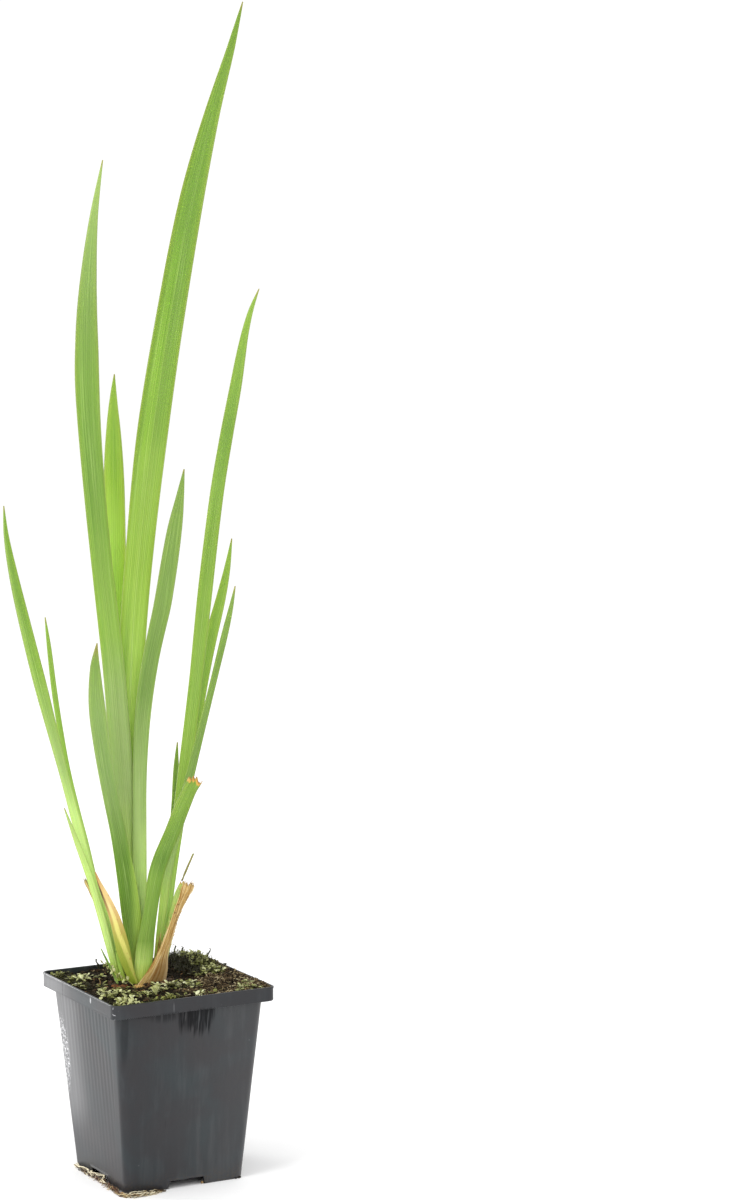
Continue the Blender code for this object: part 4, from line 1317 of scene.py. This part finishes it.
def make_dry_parts():
    """Old yellow leaf, papery sheath, dry stub and loose fibre at the crown."""
    make_blade("yellow_sheath", "yellow_sheath_leaf", YELLOW_COURSE, YELLOW_LOOK,
               old_leaf_finish())
    paper = papery_finish()
    for node, look in PAPER_LOOKS.items():
        make_blade(node, node + "_paper", PAPER_COURSE, look, paper)
    make_blade("sheath_fibre", "loose_fibre", FIBRE_COURSE, FIBRE_LOOK, "loose_fibre_looks")
    make_fringe()


def make_fringe():
    """Short strands on the papery sheath's torn edges, and long ones in the gap beside it."""
    settings = bpy.context.scene.iris_dry
    draw = random.Random(31)
    heap = Heap()
    heights, centres, halves, _ = solid_course("papery_sheath")
    for k in range(FRINGE_STRANDS):
        on_end = k % 3 == 0
        level = draw.uniform(0.9, 0.99) if on_end else draw.uniform(0.30, 0.97)
        z = heights[0] + (heights[-1] - heights[0]) * level
        at = np.array([z])
        side = draw.uniform(-0.9, 0.95) if on_end else draw.choice((0.98, 0.98, -0.95))
        start = through(heights, centres, at)[0] + through(heights, halves, at)[0] * side
        reach = draw.uniform(1.2, 3.6) * MM
        lean = draw.uniform(0.15, 0.8) * (1 if side > 0 else -1)
        route = []
        for i in range(6):
            t = i / 5
            flat = start + ACROSS * reach * t * lean * (0.4 + t * 0.6)
            flat = flat + AWAY * reach * 0.2 * math.sin(3 * t + k)
            route.append((flat[0], flat[1], z + reach * t * (0.9 if on_end else 0.75)))
        radius = draw.uniform(0.06, 0.14) * MM
        shape = tube(route, [radius, radius, radius, radius * 0.8, radius * 0.6, radius * 0.3], 4)
        heap.add(*shape, draw.uniform(0.3, 1.0))
    for _ in range(GAP_STRANDS):
        side = draw.uniform(-2.2, 0.4) * MM
        top = draw.uniform(108.0, 124.0) * MM
        route = []
        for t in np.linspace(0.0, 1.0, 7):
            flat = ACROSS * (side - 1.4 * MM + 3.6 * MM * t ** 1.3) + AWAY * (4.0 * MM + side * 0.5)
            route.append((flat[0], flat[1], GAP_FOOT + (top - GAP_FOOT) * t))
        heap.add(*tube(route, [draw.uniform(0.12, 0.3) * MM] * 6 + [0.08 * MM], 5), draw.uniform(0.2, 0.9))
    stops = [(0.0, settings.dark), (0.4, settings.rust), (0.75, settings.tan), (1.0, (0.74, 0.62, 0.38))]
    heap.piece("sheath_fringe", shaded_finish("sheath_fringe_looks", stops, 0.7, 500.0), "dry_sheath")


# Low growth

def in_patch(x, y, patch, grow):
    """Whether a place lies in a patch's rounded outline, grown by a factor."""
    centre, half = PATCHES[patch]
    u = abs((x / MM - centre[0]) / (half[0] * grow))
    v = abs((y / MM - centre[1]) / (half[1] * grow))
    return u ** 2.6 + v ** 2.6 < 1.0


# A small leaf's half width along its length, as shares of its size, and the points round its edge
LEAF_ROWS = ((0.0, 0.10), (0.18, 0.30), (0.45, 0.46), (0.75, 0.42), (0.95, 0.20))
LEAF_EDGE = (0, 3, 6, 9, 12, 13, 14, 11, 8, 5, 2, 1)


def small_leaf(heap, base, heading, rise, size, width, shade):
    """One thin rounded leaf with a hollow middle, on a place and in a heading."""
    spin = Matrix.Rotation(heading, 3, "Z") @ Matrix.Rotation(-rise, 3, "Y")
    points = []
    # Painted shade at each point: full down the hollow middle, less on the underside
    cupped_shades = []
    for along, half in LEAF_ROWS:
        for across, lift in ((-1.0, 0.10), (0.0, 0.0), (1.0, 0.10)):
            droop = -0.16 * along ** 2
            points.append(Vector((along * size, across * half * width * size,
                                  (lift * half * 1.6 + droop) * size)))
            cupped_shades.append(1.0 if across == 0.0 and along < 0.8 else 0.0)
    top = len(points)
    points += [point - Vector((0, 0, 0.07 * size)) for point in points]
    cupped_shades += [0.6] * top
    faces = []
    for row in range(len(LEAF_ROWS) - 1):
        for column in range(2):
            a = row * 3 + column
            faces.append((a, a + 3, a + 4, a + 1))
            faces.append((top + a, top + a + 1, top + a + 4, top + a + 3))
    for i, a in enumerate(LEAF_EDGE):
        b = LEAF_EDGE[(i + 1) % len(LEAF_EDGE)]
        faces.append((a, top + a, top + b, b))
    heap.add([base + spin @ point for point in points], faces, shade, cupped_shades)


def clump(heap, draw, x, y, size, tone, tall):
    """A rosette of small leaves on short stalks, each leaf's tone drawn at random."""
    floor = soil_height(x, y) + 0.2 * MM
    turn = draw.uniform(0, math.tau)
    count = draw.randint(3, 5)
    for k in range(count):
        heading = turn + math.tau * k / count * 1.62 + draw.uniform(-0.4, 0.4)
        ring = k / count
        rise = draw.uniform(-0.45, 0.9)
        lift = tall * (0.45 + 0.75 * (1 - ring)) * draw.uniform(0.7, 1.15)
        out = size * (0.2 + 0.55 * ring)
        own = size * draw.uniform(0.7, 1.2)
        reach = out + own * math.cos(rise)
        tip = (x + reach * math.cos(heading), y + reach * math.sin(heading))
        if max(abs(tip[0]), abs(tip[1])) > SOIL_HALF:
            heading += math.pi
        base = Vector((x + out * math.cos(heading), y + out * math.sin(heading), floor + lift))
        faded = draw.choice((-0.04, 0.0, 0.12, 0.3, 0.5)) * tone
        small_leaf(heap, base, heading, rise, own, draw.uniform(0.42, 0.85),
                   tone - faded + draw.uniform(-0.06, 0.1))
        if k % 2 == 0 or tall > 1.6 * MM:
            elbow = (x + out * 0.4, y + out * 0.1, floor + lift * 0.5)
            stalk = [(x, y, floor - 0.8 * MM), elbow, tuple(base)]
            heap.add(*tube(stalk, [0.13 * MM] * 3, 4), 0.22)


def moss_sprig(heap, draw, x, y, tall, tone):
    """A short moss stem set with narrow leaves."""
    floor = soil_height(x, y)
    lean = Vector((draw.uniform(-0.7, 0.7), draw.uniform(-0.7, 0.7), 1.0)).normalized()
    foot = Vector((x, y, floor))
    stem = [foot, foot + lean * tall * 0.5, foot + lean * tall]
    heap.add(*tube(stem, [0.14 * MM, 0.12 * MM, 0.06 * MM], 4), tone - 0.25)
    for k in range(draw.randint(4, 7)):
        base = foot + lean * tall * (0.25 + 0.11 * k)
        size = draw.uniform(0.6, 1.2) * MM
        small_leaf(heap, base, draw.uniform(0, math.tau), draw.uniform(0.1, 0.9), size, 0.45,
                   tone + draw.uniform(-0.2, 0.15))


def on_peat(x, y, grow=0.0):
    """Whether a place lies on the peat and outside the leaves' feet, which a length makes wider."""
    return max(abs(x), abs(y)) < SOIL_HALF - 1.5 * MM and not in_crown(x, y, grow - 5.0 * MM)


# Clusters of seedlings on each patch, as (x, y, reach, rosettes, tone) with lengths in millimetres
CLUSTERS = {
    "seedlings_front": [(-35, -12, 4.5, 9, 0.9), (-31, -16, 4.0, 7, 0.8), (-25, -12, 3.0, 5, 0.78),
                        (-38, -20, 3.0, 4, 0.75), (-24, -23, 3.5, 5, 0.62), (-33, -30, 4.5, 9, 0.82),
                        (-29, -38, 4.5, 7, 0.72), (-39, -37, 3.0, 4, 0.66), (-16.5, -24, 2.2, 4, 0.9),
                        (-8.6, -17, 2.4, 6, 0.86), (-12, -35, 3.5, 4, 0.55), (-5.5, -13, 2.5, 4, 0.88),
                        (-6, -36, 3.0, 3, 0.5), (-20, -40, 3.0, 3, 0.5)],
    "seedlings_middle": [(1.8, -9.5, 2.6, 6, 0.9), (5.5, -9.0, 2.0, 4, 0.7), (11.5, -9.0, 3.0, 5, 0.88),
                         (15.0, -10.0, 2.0, 3, 0.86), (13, -17, 1.8, 3, 0.8), (3, -16, 2.0, 2, 0.45)],
    "seedlings_right": [(7.4, -34, 2.0, 4, 0.88), (34, -33, 3.0, 4, 0.8), (38.5, -27, 2.0, 3, 0.8),
                        (38, -37, 2.5, 5, 0.86), (27, -40, 2.5, 4, 0.6), (14, -38, 2.5, 3, 0.5)],
    "seedlings_left": [(-38, 40, 3.5, 5, 0.68), (-33, 41, 3.0, 3, 0.5), (-40, 34, 2.5, 3, 0.6),
                       (-37, 25, 3.5, 4, 0.56), (-33, 21, 2.5, 4, 0.84), (-38.5, 12, 2.0, 3, 0.84),
                       (-39.5, 7, 1.5, 3, 0.66)],
    "moss_mound": [(31, 33, 3.5, 7, 0.72), (35, 27, 3.5, 9, 0.74), (37, 20, 3.0, 7, 0.68),
                   (34, 9, 2.5, 5, 0.66), (36, 3, 2.8, 8, 0.90), (29, 1.5, 2.5, 3, 0.6),
                   (30, 17, 3.5, 6, 0.6), (22, 4, 3.0, 3, 0.45), (36, 35, 2.5, 2, 0.66)],
    "": [(-28, 27, 3.0, 4, 0.84), (-23, 24, 2.0, 2, 0.8), (-15.5, 12, 2.2, 5, 0.85), (-14, 6.5, 1.5, 3, 0.8),
         (-30, 2, 2.5, 2, 0.4), (-22, -2, 2.0, 2, 0.5), (6, 36, 4.0, 3, 0.35), (-10, 34, 5.0, 4, 0.4)],
}
# Moss stems on each patch, with their greatest height in millimetres and their tone
# Their dark tones also paint the shade in the gaps between the seedlings
SPRIGS = {"seedlings_front": (190, 1.8, 0.18), "seedlings_middle": (60, 1.8, 0.2),
          "seedlings_right": (60, 1.3, 0.2), "seedlings_left": (190, 2.6, 0.24),
          "moss_mound": (620, 5.2, 0.06), "": (150, 1.2, 0.12)}
# Right of this line the mound is not bare and dark, and its stems have these tones
BARE_SIDE = 27.0 * MM
MOUND_TONES = (0.12, 0.25, 0.5, 0.78)
# Thin stem against the crown's left side, from its foot up, in millimetres
SHOOT_ROUTE = [(-15.5, -6.0, 98.0), (-15.8, -3.2, 99.8), (-18.0, 3.0, 102.2), (-21.4, 6.9, 104.9),
               (-24.0, 9.4, 107.2), (-26.8, 11.2, 110.4)]
# Upright leaves in front of the crown, as (x, y, heading, length, tone), lengths in millimetres
UPRIGHT_LEAVES = [(-11.5, -23.5, 2.2, 5.2, 0.64), (-12.0, -22.0, 0.9, 4.4, 0.62),
                  (-10.6, -21.0, 1.4, 4.8, 0.68), (-10.0, -19.5, 0.4, 3.6, 0.72)]
# Twigs that stand up along the back and right edges, as (x, y, height, lean) in millimetres
TWIGS = [(-13.5, 42.2, 4.6, -0.5), (-6.0, 42.0, 4.2, 0.6), (-9.5, 42.4, 3.0, 0.3), (29.0, 41.5, 8.2, 0.4),
         (33.0, 41.8, 7.0, 0.6), (41.3, 28.0, 7.2, 0.9), (41.0, 32.0, 6.6, -0.6), (41.6, 8.0, 4.0, 0.5)]


def crown_shoots(heap, draw):
    """Pale leaves on the thin stem against the crown's left side, and four upright ones before the crown."""
    along = np.linspace(0.0, 1.0, 24)
    stem = through(np.linspace(0.0, 1.0, len(SHOOT_ROUTE)), np.array(SHOOT_ROUTE) * MM, along)
    heap.add(*tube(stem.tolist(), [0.22 * MM] * 23 + [0.12 * MM], 5), 0.5)
    for k, place in enumerate(stem[7:22]):
        back = k % 2 == 0
        heading = (1.1 if back else -2.0) + draw.uniform(-1.1, 1.1)
        rise = draw.uniform(0.6, 1.2) if back else draw.uniform(-1.0, -0.3)
        base = Vector((place + draw.uniform(-0.7, 0.7) * MM * np.array((*ACROSS, 0.3))).tolist())
        small_leaf(heap, base, heading, rise, draw.uniform(1.5, 3.0) * MM, 0.6,
                   draw.choice((0.78, 0.7, 0.6, 0.45)))
    for x, y, heading, size, tone in UPRIGHT_LEAVES:
        base = Vector((x * MM, y * MM, soil_height(x * MM, y * MM)))
        small_leaf(heap, base, heading, 1.15, size * MM, 0.55, tone)


def within(draw, patch):
    """A place drawn from a patch's box."""
    centre, half = PATCHES[patch]
    x = (centre[0] + draw.uniform(-1, 1) * half[0]) * MM
    y = (centre[1] + draw.uniform(-1, 1) * half[1]) * MM
    return x, y


def rosettes(heap, draw, patch, settings):
    """A patch's clusters of seedlings."""
    for x, y, reach, count, tone in CLUSTERS[patch]:
        for _ in range(round(count * settings.fullness)):
            away = reach * draw.random() * MM
            heading = draw.uniform(0, math.tau)
            px = x * MM + away * math.cos(heading)
            py = y * MM + away * math.sin(heading)
            tall = draw.uniform(1.2, 3.4) if patch == "moss_mound" else draw.uniform(0.5, 1.9)
            if on_peat(px, py):
                clump(heap, draw, px, py, settings.leaf_length * draw.uniform(0.65, 1.25),
                      tone + draw.uniform(-0.12, 0.08), tall * MM)


def sprigs(heap, draw, patch):
    """A patch's moss stems."""
    count, tall, tone = SPRIGS[patch]
    for _ in range(count):
        x, y = within(draw, patch)
        if on_peat(x, y, 3 * MM) and (not patch or in_patch(x, y, patch, 0.97)):
            dark = patch != "moss_mound" or x < BARE_SIDE
            own = tone if dark else draw.choice(MOUND_TONES)
            moss_sprig(heap, draw, x, y, tall * draw.uniform(0.35, 1.0) * MM, own - draw.uniform(-0.15, 0.3))


def twigs(heap, draw):
    """Dark twigs with a few leaves along the pot's back and right edges."""
    for x, y, tall, lean in TWIGS:
        stem = [(x * MM + lean * MM * 3 * t * t, y * MM, SOIL_LEVEL + tall * MM * t)
                for t in np.linspace(0.0, 1.0, 7)]
        heap.add(*tube(stem, [0.4 * MM] * 6 + [0.25 * MM], 5), 0.05)
        for k in range(9):
            small_leaf(heap, Vector(stem[2 + k % 5]), draw.uniform(0, math.tau), draw.uniform(0.1, 1.0),
                       draw.uniform(0.9, 1.7) * MM, 0.7, draw.uniform(0.0, 0.3))


GRASS_COURSE = (0.8 * MM, 0.5 * MM, 0.03 * MM)
GRASS_LOOK = {"seed": 25.0, "sway": 0.1 * MM, "rib_height": 0.0, "margin": 0.2,
              "tints": [(0.0, "sage"), (0.5, "grey"), (1.0, "grey")]}


def make_growth():
    """Seedlings and moss on the peat, one piece for each patch of the solids and one for the rest."""
    settings = bpy.context.scene.iris_growth
    stops = [(0.0, blend(settings.dark, (0.01, 0.01, 0.005), 0.6)), (0.28, settings.dark),
             (0.56, settings.green), (0.84, settings.pale),
             (1.0, blend(settings.pale, (0.85, 0.85, 0.6), 0.6))]
    finish = shaded_finish("moss_looks", stops, 0.5, 700.0, 0.2)
    draw = random.Random(41)
    for patch in CLUSTERS:
        heap = Heap()
        rosettes(heap, draw, patch, settings)
        sprigs(heap, draw, patch)
        if patch:
            heap.piece(patch + "_leaves", finish, "moss", (patch,))
        else:
            twigs(heap, draw)
            crown_shoots(heap, draw)
            heap.piece("scattered_seedlings", finish, "moss")
    make_dry_moss(settings)
    make_blade("grass_seedling", "grass_blade", GRASS_COURSE, GRASS_LOOK, "grass_looks")


def curled(draw, x, y, reach, lift, bend):
    """Route of a loose bent strand over the peat, kept inside the pot."""
    heading = draw.uniform(0, math.tau)
    limit = SOIL_HALF - 0.6 * MM
    route = []
    for i in range(7):
        t = i / 6
        px = max(-limit, min(limit, x + reach * t * math.cos(heading + bend * t)))
        py = max(-limit, min(limit, y + reach * t * math.sin(heading + bend * t)))
        arch = lift * (0.45 + 0.55 * math.sin(math.pi * t))
        route.append((px, py, soil_height(px, py) + 0.3 * MM + arch))
    return route


# Dry strands on each patch, and how high they arch in millimetres
DRY_STRANDS = (("dry_moss", 430, 2.3), ("seedlings_right", 420, 1.9), ("", 130, 1.2))
WALL_STRANDS = 300


def dry_strand(heap, route, radius, shade):
    """A thin dead strand, finer at its ends."""
    heap.add(*tube(route, [radius * 0.6] + [radius] * 5 + [radius * 0.3], 5), shade)


def make_dry_moss(settings):
    """Brown tangle of dead moss and fibres, thick on its own patch, thinner towards the pot's right corner
    and heaped along its right wall."""
    draw = random.Random(61)
    heap = Heap()
    for patch, count, lift in DRY_STRANDS:
        for _ in range(count):
            x, y = within(draw, patch)
            if not on_peat(x, y, 3 * MM):
                continue
            route = curled(draw, x, y, draw.uniform(1.2, 3.8) * MM, draw.uniform(0.1, lift) * MM,
                           draw.uniform(-2.8, 2.8))
            dry_strand(heap, route, draw.uniform(0.09, 0.24) * MM, draw.random() ** 1.3)
    for _ in range(WALL_STRANDS):
        beside = draw.uniform(0.6, 4.0) * MM
        route = curled(draw, SOIL_HALF - beside, draw.uniform(-43.0, 24.0) * MM, draw.uniform(1.2, 3.4) * MM,
                       draw.uniform(0.3, 1.9) * MM, draw.uniform(-2.8, 2.8))
        dry_strand(heap, route, draw.uniform(0.1, 0.26) * MM, draw.random() ** 1.2)
    dark = (0.010, 0.008, 0.006)
    stops = [(0.0, dark), (0.3, blend(settings.fibre, dark, 0.55)), (0.6, settings.fibre),
             (0.8, (0.27, 0.20, 0.10)), (1.0, (0.50, 0.43, 0.27))]
    finish = shaded_finish("dry_fibre_looks", stops, 0.8, 800.0, 0.1)
    heap.piece("dry_moss_tangle", finish, "dry_fibre", ("dry_moss",))


# Roots

# Bundles of fine roots: the corners of the route where they start and end, their number, thickness in
# millimetres and tones, and how high they lie as a share of the route's height
BUNDLES = ((0, 6, 80, 0.22, (0.0, 0.03, 0.1, 0.2, 0.38), 0.55),
           (5, 8, 44, 0.20, (0.12, 0.3, 0.36, 0.42, 0.6), 0.6),
           (7, 10, 30, 0.28, (0.7, 0.8, 0.95, 1.0), 0.9),
           (7, 11, 50, 0.20, (0.0, 0.05, 0.2, 0.5, 0.72), 0.8))
# Heights of the three plaited strands, and the number of loose wisps
PLAIT_HEIGHTS = (0.85, 0.6, 0.35)
WISPS = 26


def wisp(heap, draw, legs, route):
    """One loose root end that runs out from the mat over the floor."""
    at = np.array([draw.uniform(legs[2], legs[10])])
    x, y, wide, high = through(legs, route, at)[0]
    heading = math.atan2(y, x) + draw.uniform(-1.1, 1.1)
    reach = draw.uniform(0.8, 2.6) * MM
    bend = draw.uniform(-1.5, 1.5)
    points = []
    for t in np.linspace(0.0, 1.0, 6):
        out = wide * 0.6 + reach * t
        toward = heading + bend * t * 0.4
        points.append((x + out * math.cos(toward), y + out * math.sin(toward),
                       0.12 * MM + high * 0.6 * (1 - t) ** 2))
    heap.add(*tube(points, [0.12 * MM] * 5 + [0.06 * MM], 4), draw.choice((0.36, 0.6, 0.85, 1.0)))


def make_roots():
    """Pale strands plaited over dark fine roots along the left foot, and a mat round the front corner."""
    settings = bpy.context.scene.iris_roots
    draw = random.Random(71)
    heap = Heap()
    route = np.array(ROOT_ROUTE) * MM
    legs = np.concatenate(([0.0], np.cumsum(np.linalg.norm(np.diff(route[:, :2], axis=0), axis=1))))

    def strand(start, end, lane, height, radius, wave, shade, sides, plait=None):
        """One root along the route, in a lane across it, waving at random or as its plait says."""
        count = max(8, round((end - start) / (1.1 * MM)))
        at = np.linspace(start, end, count)
        middle = through(legs, route, at)
        ahead = np.gradient(middle[:, :2], at, axis=0)
        ahead /= np.linalg.norm(ahead, axis=1)[:, None]
        aside = np.stack((-ahead[:, 1], ahead[:, 0]), axis=1)
        phase, pitch = plait or (draw.uniform(0, 9), draw.uniform(420.0, 780.0))
        sweep = lane + wave * np.sin(at * pitch + phase) + 0.3 * np.sin(at * 1900.0 + phase)
        sweep = np.clip(sweep, -0.95, 0.95)
        flat = middle[:, :2] + aside * (middle[:, 2] * sweep)[:, None]
        rise = np.clip(height + 0.25 * np.sin(at * pitch * 1.3 + phase * 2), 0.0, 1.0)
        rise = rise * (middle[:, 3] - 2 * radius)
        points = np.column_stack((flat, radius + np.clip(rise, 0.0, None)))
        radii = [radius * (1.0 - 0.6 * abs(2 * i / (count - 1) - 1) ** 4) for i in range(count)]
        heap.add(*tube(points, radii, sides), shade)

    for turn, high in enumerate(PLAIT_HEIGHTS):
        strand(legs[0] + 1 * MM, legs[5] - 1.5 * turn * MM, 0.15, high, 0.33 * MM, 0.8, 0.9 + 0.04 * turn, 8,
               (2.1 * turn, 430.0 - 40.0 * turn))
    for first_leg, last_leg, count, thick, tones, high in BUNDLES:
        for _ in range(round(count * settings.fullness)):
            first = draw.uniform(legs[first_leg], legs[last_leg] - 4 * MM)
            last = min(legs[last_leg], first + draw.uniform(4.0, 12.0) * MM)
            strand(first, last, draw.uniform(-0.85, 0.85), draw.uniform(0.0, high),
                   draw.uniform(0.5, 1.0) * thick * MM, draw.uniform(0.2, 0.7), draw.choice(tones), 5)
    for _ in range(WISPS):
        wisp(heap, draw, legs, route)
    stops = [(0.0, settings.dark), (0.22, blend(settings.dark, settings.straw, 0.2)), (0.38, settings.rust),
             (0.62, settings.straw), (0.85, blend(settings.straw, settings.pale, 0.75)), (1.0, settings.pale)]
    heap.piece("root_strands", shaded_finish("root_looks", stops, 0.6, 420.0), "root", ("root_mat",))


# Stage

def area_light(name, place, aim, size, power):
    """A round soft light that the camera doesn't see."""
    lamp = bpy.data.lights.new(name, "AREA")
    lamp.shape = "DISK"
    lamp.size = size
    lamp.energy = power
    made = bpy.data.objects.new(name, lamp)
    bpy.context.scene.collection.objects.link(made)
    made.location = place
    made.rotation_euler = (Vector(aim) - Vector(place)).to_track_quat("-Z", "Y").to_euler()
    made.visible_camera = False


def make_stage():
    """Wide pale floor, even white sky, three soft lights and the camera."""
    scene = bpy.context.scene
    settings = scene.iris_stage
    floor = bpy.data.meshes.new("floor")
    corners = [(x * FLOOR_REACH, y * FLOOR_REACH, 0) for x, y in ((-1, -1), (1, -1), (1, 1), (-1, 1))]
    floor.from_pydata(corners, [], [(0, 1, 2, 3)])
    ground = bpy.data.objects.new("floor", floor)
    scene.collection.objects.link(ground)
    looks = Finish("floor_looks", 0.9, 0.0)
    speckle = looks.noise(looks.place(), 400.0, 2.0)
    looks.colour(looks.mix(speckle, settings.floor, blend(settings.floor, (1.0, 1.0, 1.0), 0.3)))
    floor.materials.append(looks.material)
    sky = bpy.data.worlds.new("studio")
    sky.use_nodes = True
    light = sky.node_tree.nodes["Background"]
    light.inputs["Color"].default_value = (1.0, 1.0, 1.0, 1.0)
    light.inputs["Strength"].default_value = settings.sky
    scene.world = sky
    for name, setting, place, aim, size in LIGHTS:
        area_light(name, place, aim, size, getattr(settings, setting))
    lens = bpy.data.cameras.new("camera")
    lens.sensor_fit = "VERTICAL"
    lens.sensor_height = CAMERA_FILM
    lens.lens = CAMERA_LENS
    camera = bpy.data.objects.new("camera", lens)
    scene.collection.objects.link(camera)
    camera.location = (CAMERA_AWAY * math.sin(CAMERA_TURN), -CAMERA_AWAY * math.cos(CAMERA_TURN),
                       CAMERA_HEIGHT)
    camera.rotation_euler = CAMERA_AIM
    scene.camera = camera
    scene.view_settings.view_transform = "Standard"


# Operators and panel

class IRIS_OT_stage(bpy.types.Operator):
    """Make the pale floor, the soft studio light and the camera"""
    bl_idname = "potted_iris.stage"
    bl_label = "Stage, light and camera"

    def execute(self, context):
        make_stage()
        return {"FINISHED"}


class IRIS_OT_pot(bpy.types.Operator):
    """Make the moulded pot with its rim, flutes, notches and drains"""
    bl_idname = "potted_iris.pot"
    bl_label = "Pot"

    def execute(self, context):
        make_pot()
        return {"FINISHED"}


class IRIS_OT_peat(bpy.types.Operator):
    """Make the peat with its loose crumbs"""
    bl_idname = "potted_iris.peat"
    bl_label = "Peat"

    def execute(self, context):
        make_peat()
        make_crumbs()
        return {"FINISHED"}


class IRIS_OT_rhizome(bpy.types.Operator):
    """Make the top of the rhizome"""
    bl_idname = "potted_iris.rhizome"
    bl_label = "Rhizome"

    def execute(self, context):
        make_rhizome()
        return {"FINISHED"}


class IRIS_OT_leaves(bpy.types.Operator):
    """Make the green sword leaves and the cut ones"""
    bl_idname = "potted_iris.leaves"
    bl_label = "Leaves"

    def execute(self, context):
        make_leaves()
        return {"FINISHED"}


class IRIS_OT_dry_parts(bpy.types.Operator):
    """Make the old yellow leaf, the papery sheath and the dry bits at the crown"""
    bl_idname = "potted_iris.dry_parts"
    bl_label = "Dry leaves and sheaths"

    def execute(self, context):
        make_dry_parts()
        return {"FINISHED"}


class IRIS_OT_growth(bpy.types.Operator):
    """Make the seedlings, the moss and the dry moss on the peat"""
    bl_idname = "potted_iris.growth"
    bl_label = "Seedlings and moss"

    def execute(self, context):
        make_growth()
        return {"FINISHED"}


class IRIS_OT_roots(bpy.types.Operator):
    """Make the roots along the pot's foot"""
    bl_idname = "potted_iris.roots"
    bl_label = "Roots"

    def execute(self, context):
        make_roots()
        return {"FINISHED"}


STEPS = (IRIS_OT_stage, IRIS_OT_pot, IRIS_OT_peat, IRIS_OT_rhizome, IRIS_OT_leaves, IRIS_OT_dry_parts,
         IRIS_OT_growth, IRIS_OT_roots)
SETTINGS = {"iris_pot": PotSettings, "iris_leaves": LeafSettings, "iris_dry": DrySettings,
            "iris_peat": PeatSettings, "iris_growth": GrowthSettings, "iris_roots": RootSettings,
            "iris_stage": StageSettings}


class IRIS_PT_panel(bpy.types.Panel):
    """Lists the pieces and the settings that they use"""
    bl_idname = "IRIS_PT_panel"
    bl_label = "Potted iris"
    bl_space_type = "VIEW_3D"
    bl_region_type = "UI"
    bl_category = "Iris"

    def draw(self, context):
        for step in STEPS:
            self.layout.operator(step.bl_idname)
        for name, group in SETTINGS.items():
            box = self.layout.box()
            for entry in group.__annotations__:
                box.prop(getattr(context.scene, name), entry)


def register():
    for group in SETTINGS.values():
        bpy.utils.register_class(group)
    for name, group in SETTINGS.items():
        setattr(bpy.types.Scene, name, PointerProperty(type=group))
    for step in STEPS:
        bpy.utils.register_class(step)
    bpy.utils.register_class(IRIS_PT_panel)


def unregister():
    bpy.utils.unregister_class(IRIS_PT_panel)
    for step in reversed(STEPS):
        bpy.utils.unregister_class(step)
    for name, group in reversed(SETTINGS.items()):
        delattr(bpy.types.Scene, name)
        bpy.utils.unregister_class(group)


def main():
    register()
    bpy.ops.potted_iris.stage()
    bpy.ops.potted_iris.pot()
    bpy.ops.potted_iris.peat()
    bpy.ops.potted_iris.rhizome()
    bpy.ops.potted_iris.leaves()
    bpy.ops.potted_iris.dry_parts()
    bpy.ops.potted_iris.growth()
    bpy.ops.potted_iris.roots()
    bpy.context.view_layer.update()


if __name__ == "__main__":
    main()
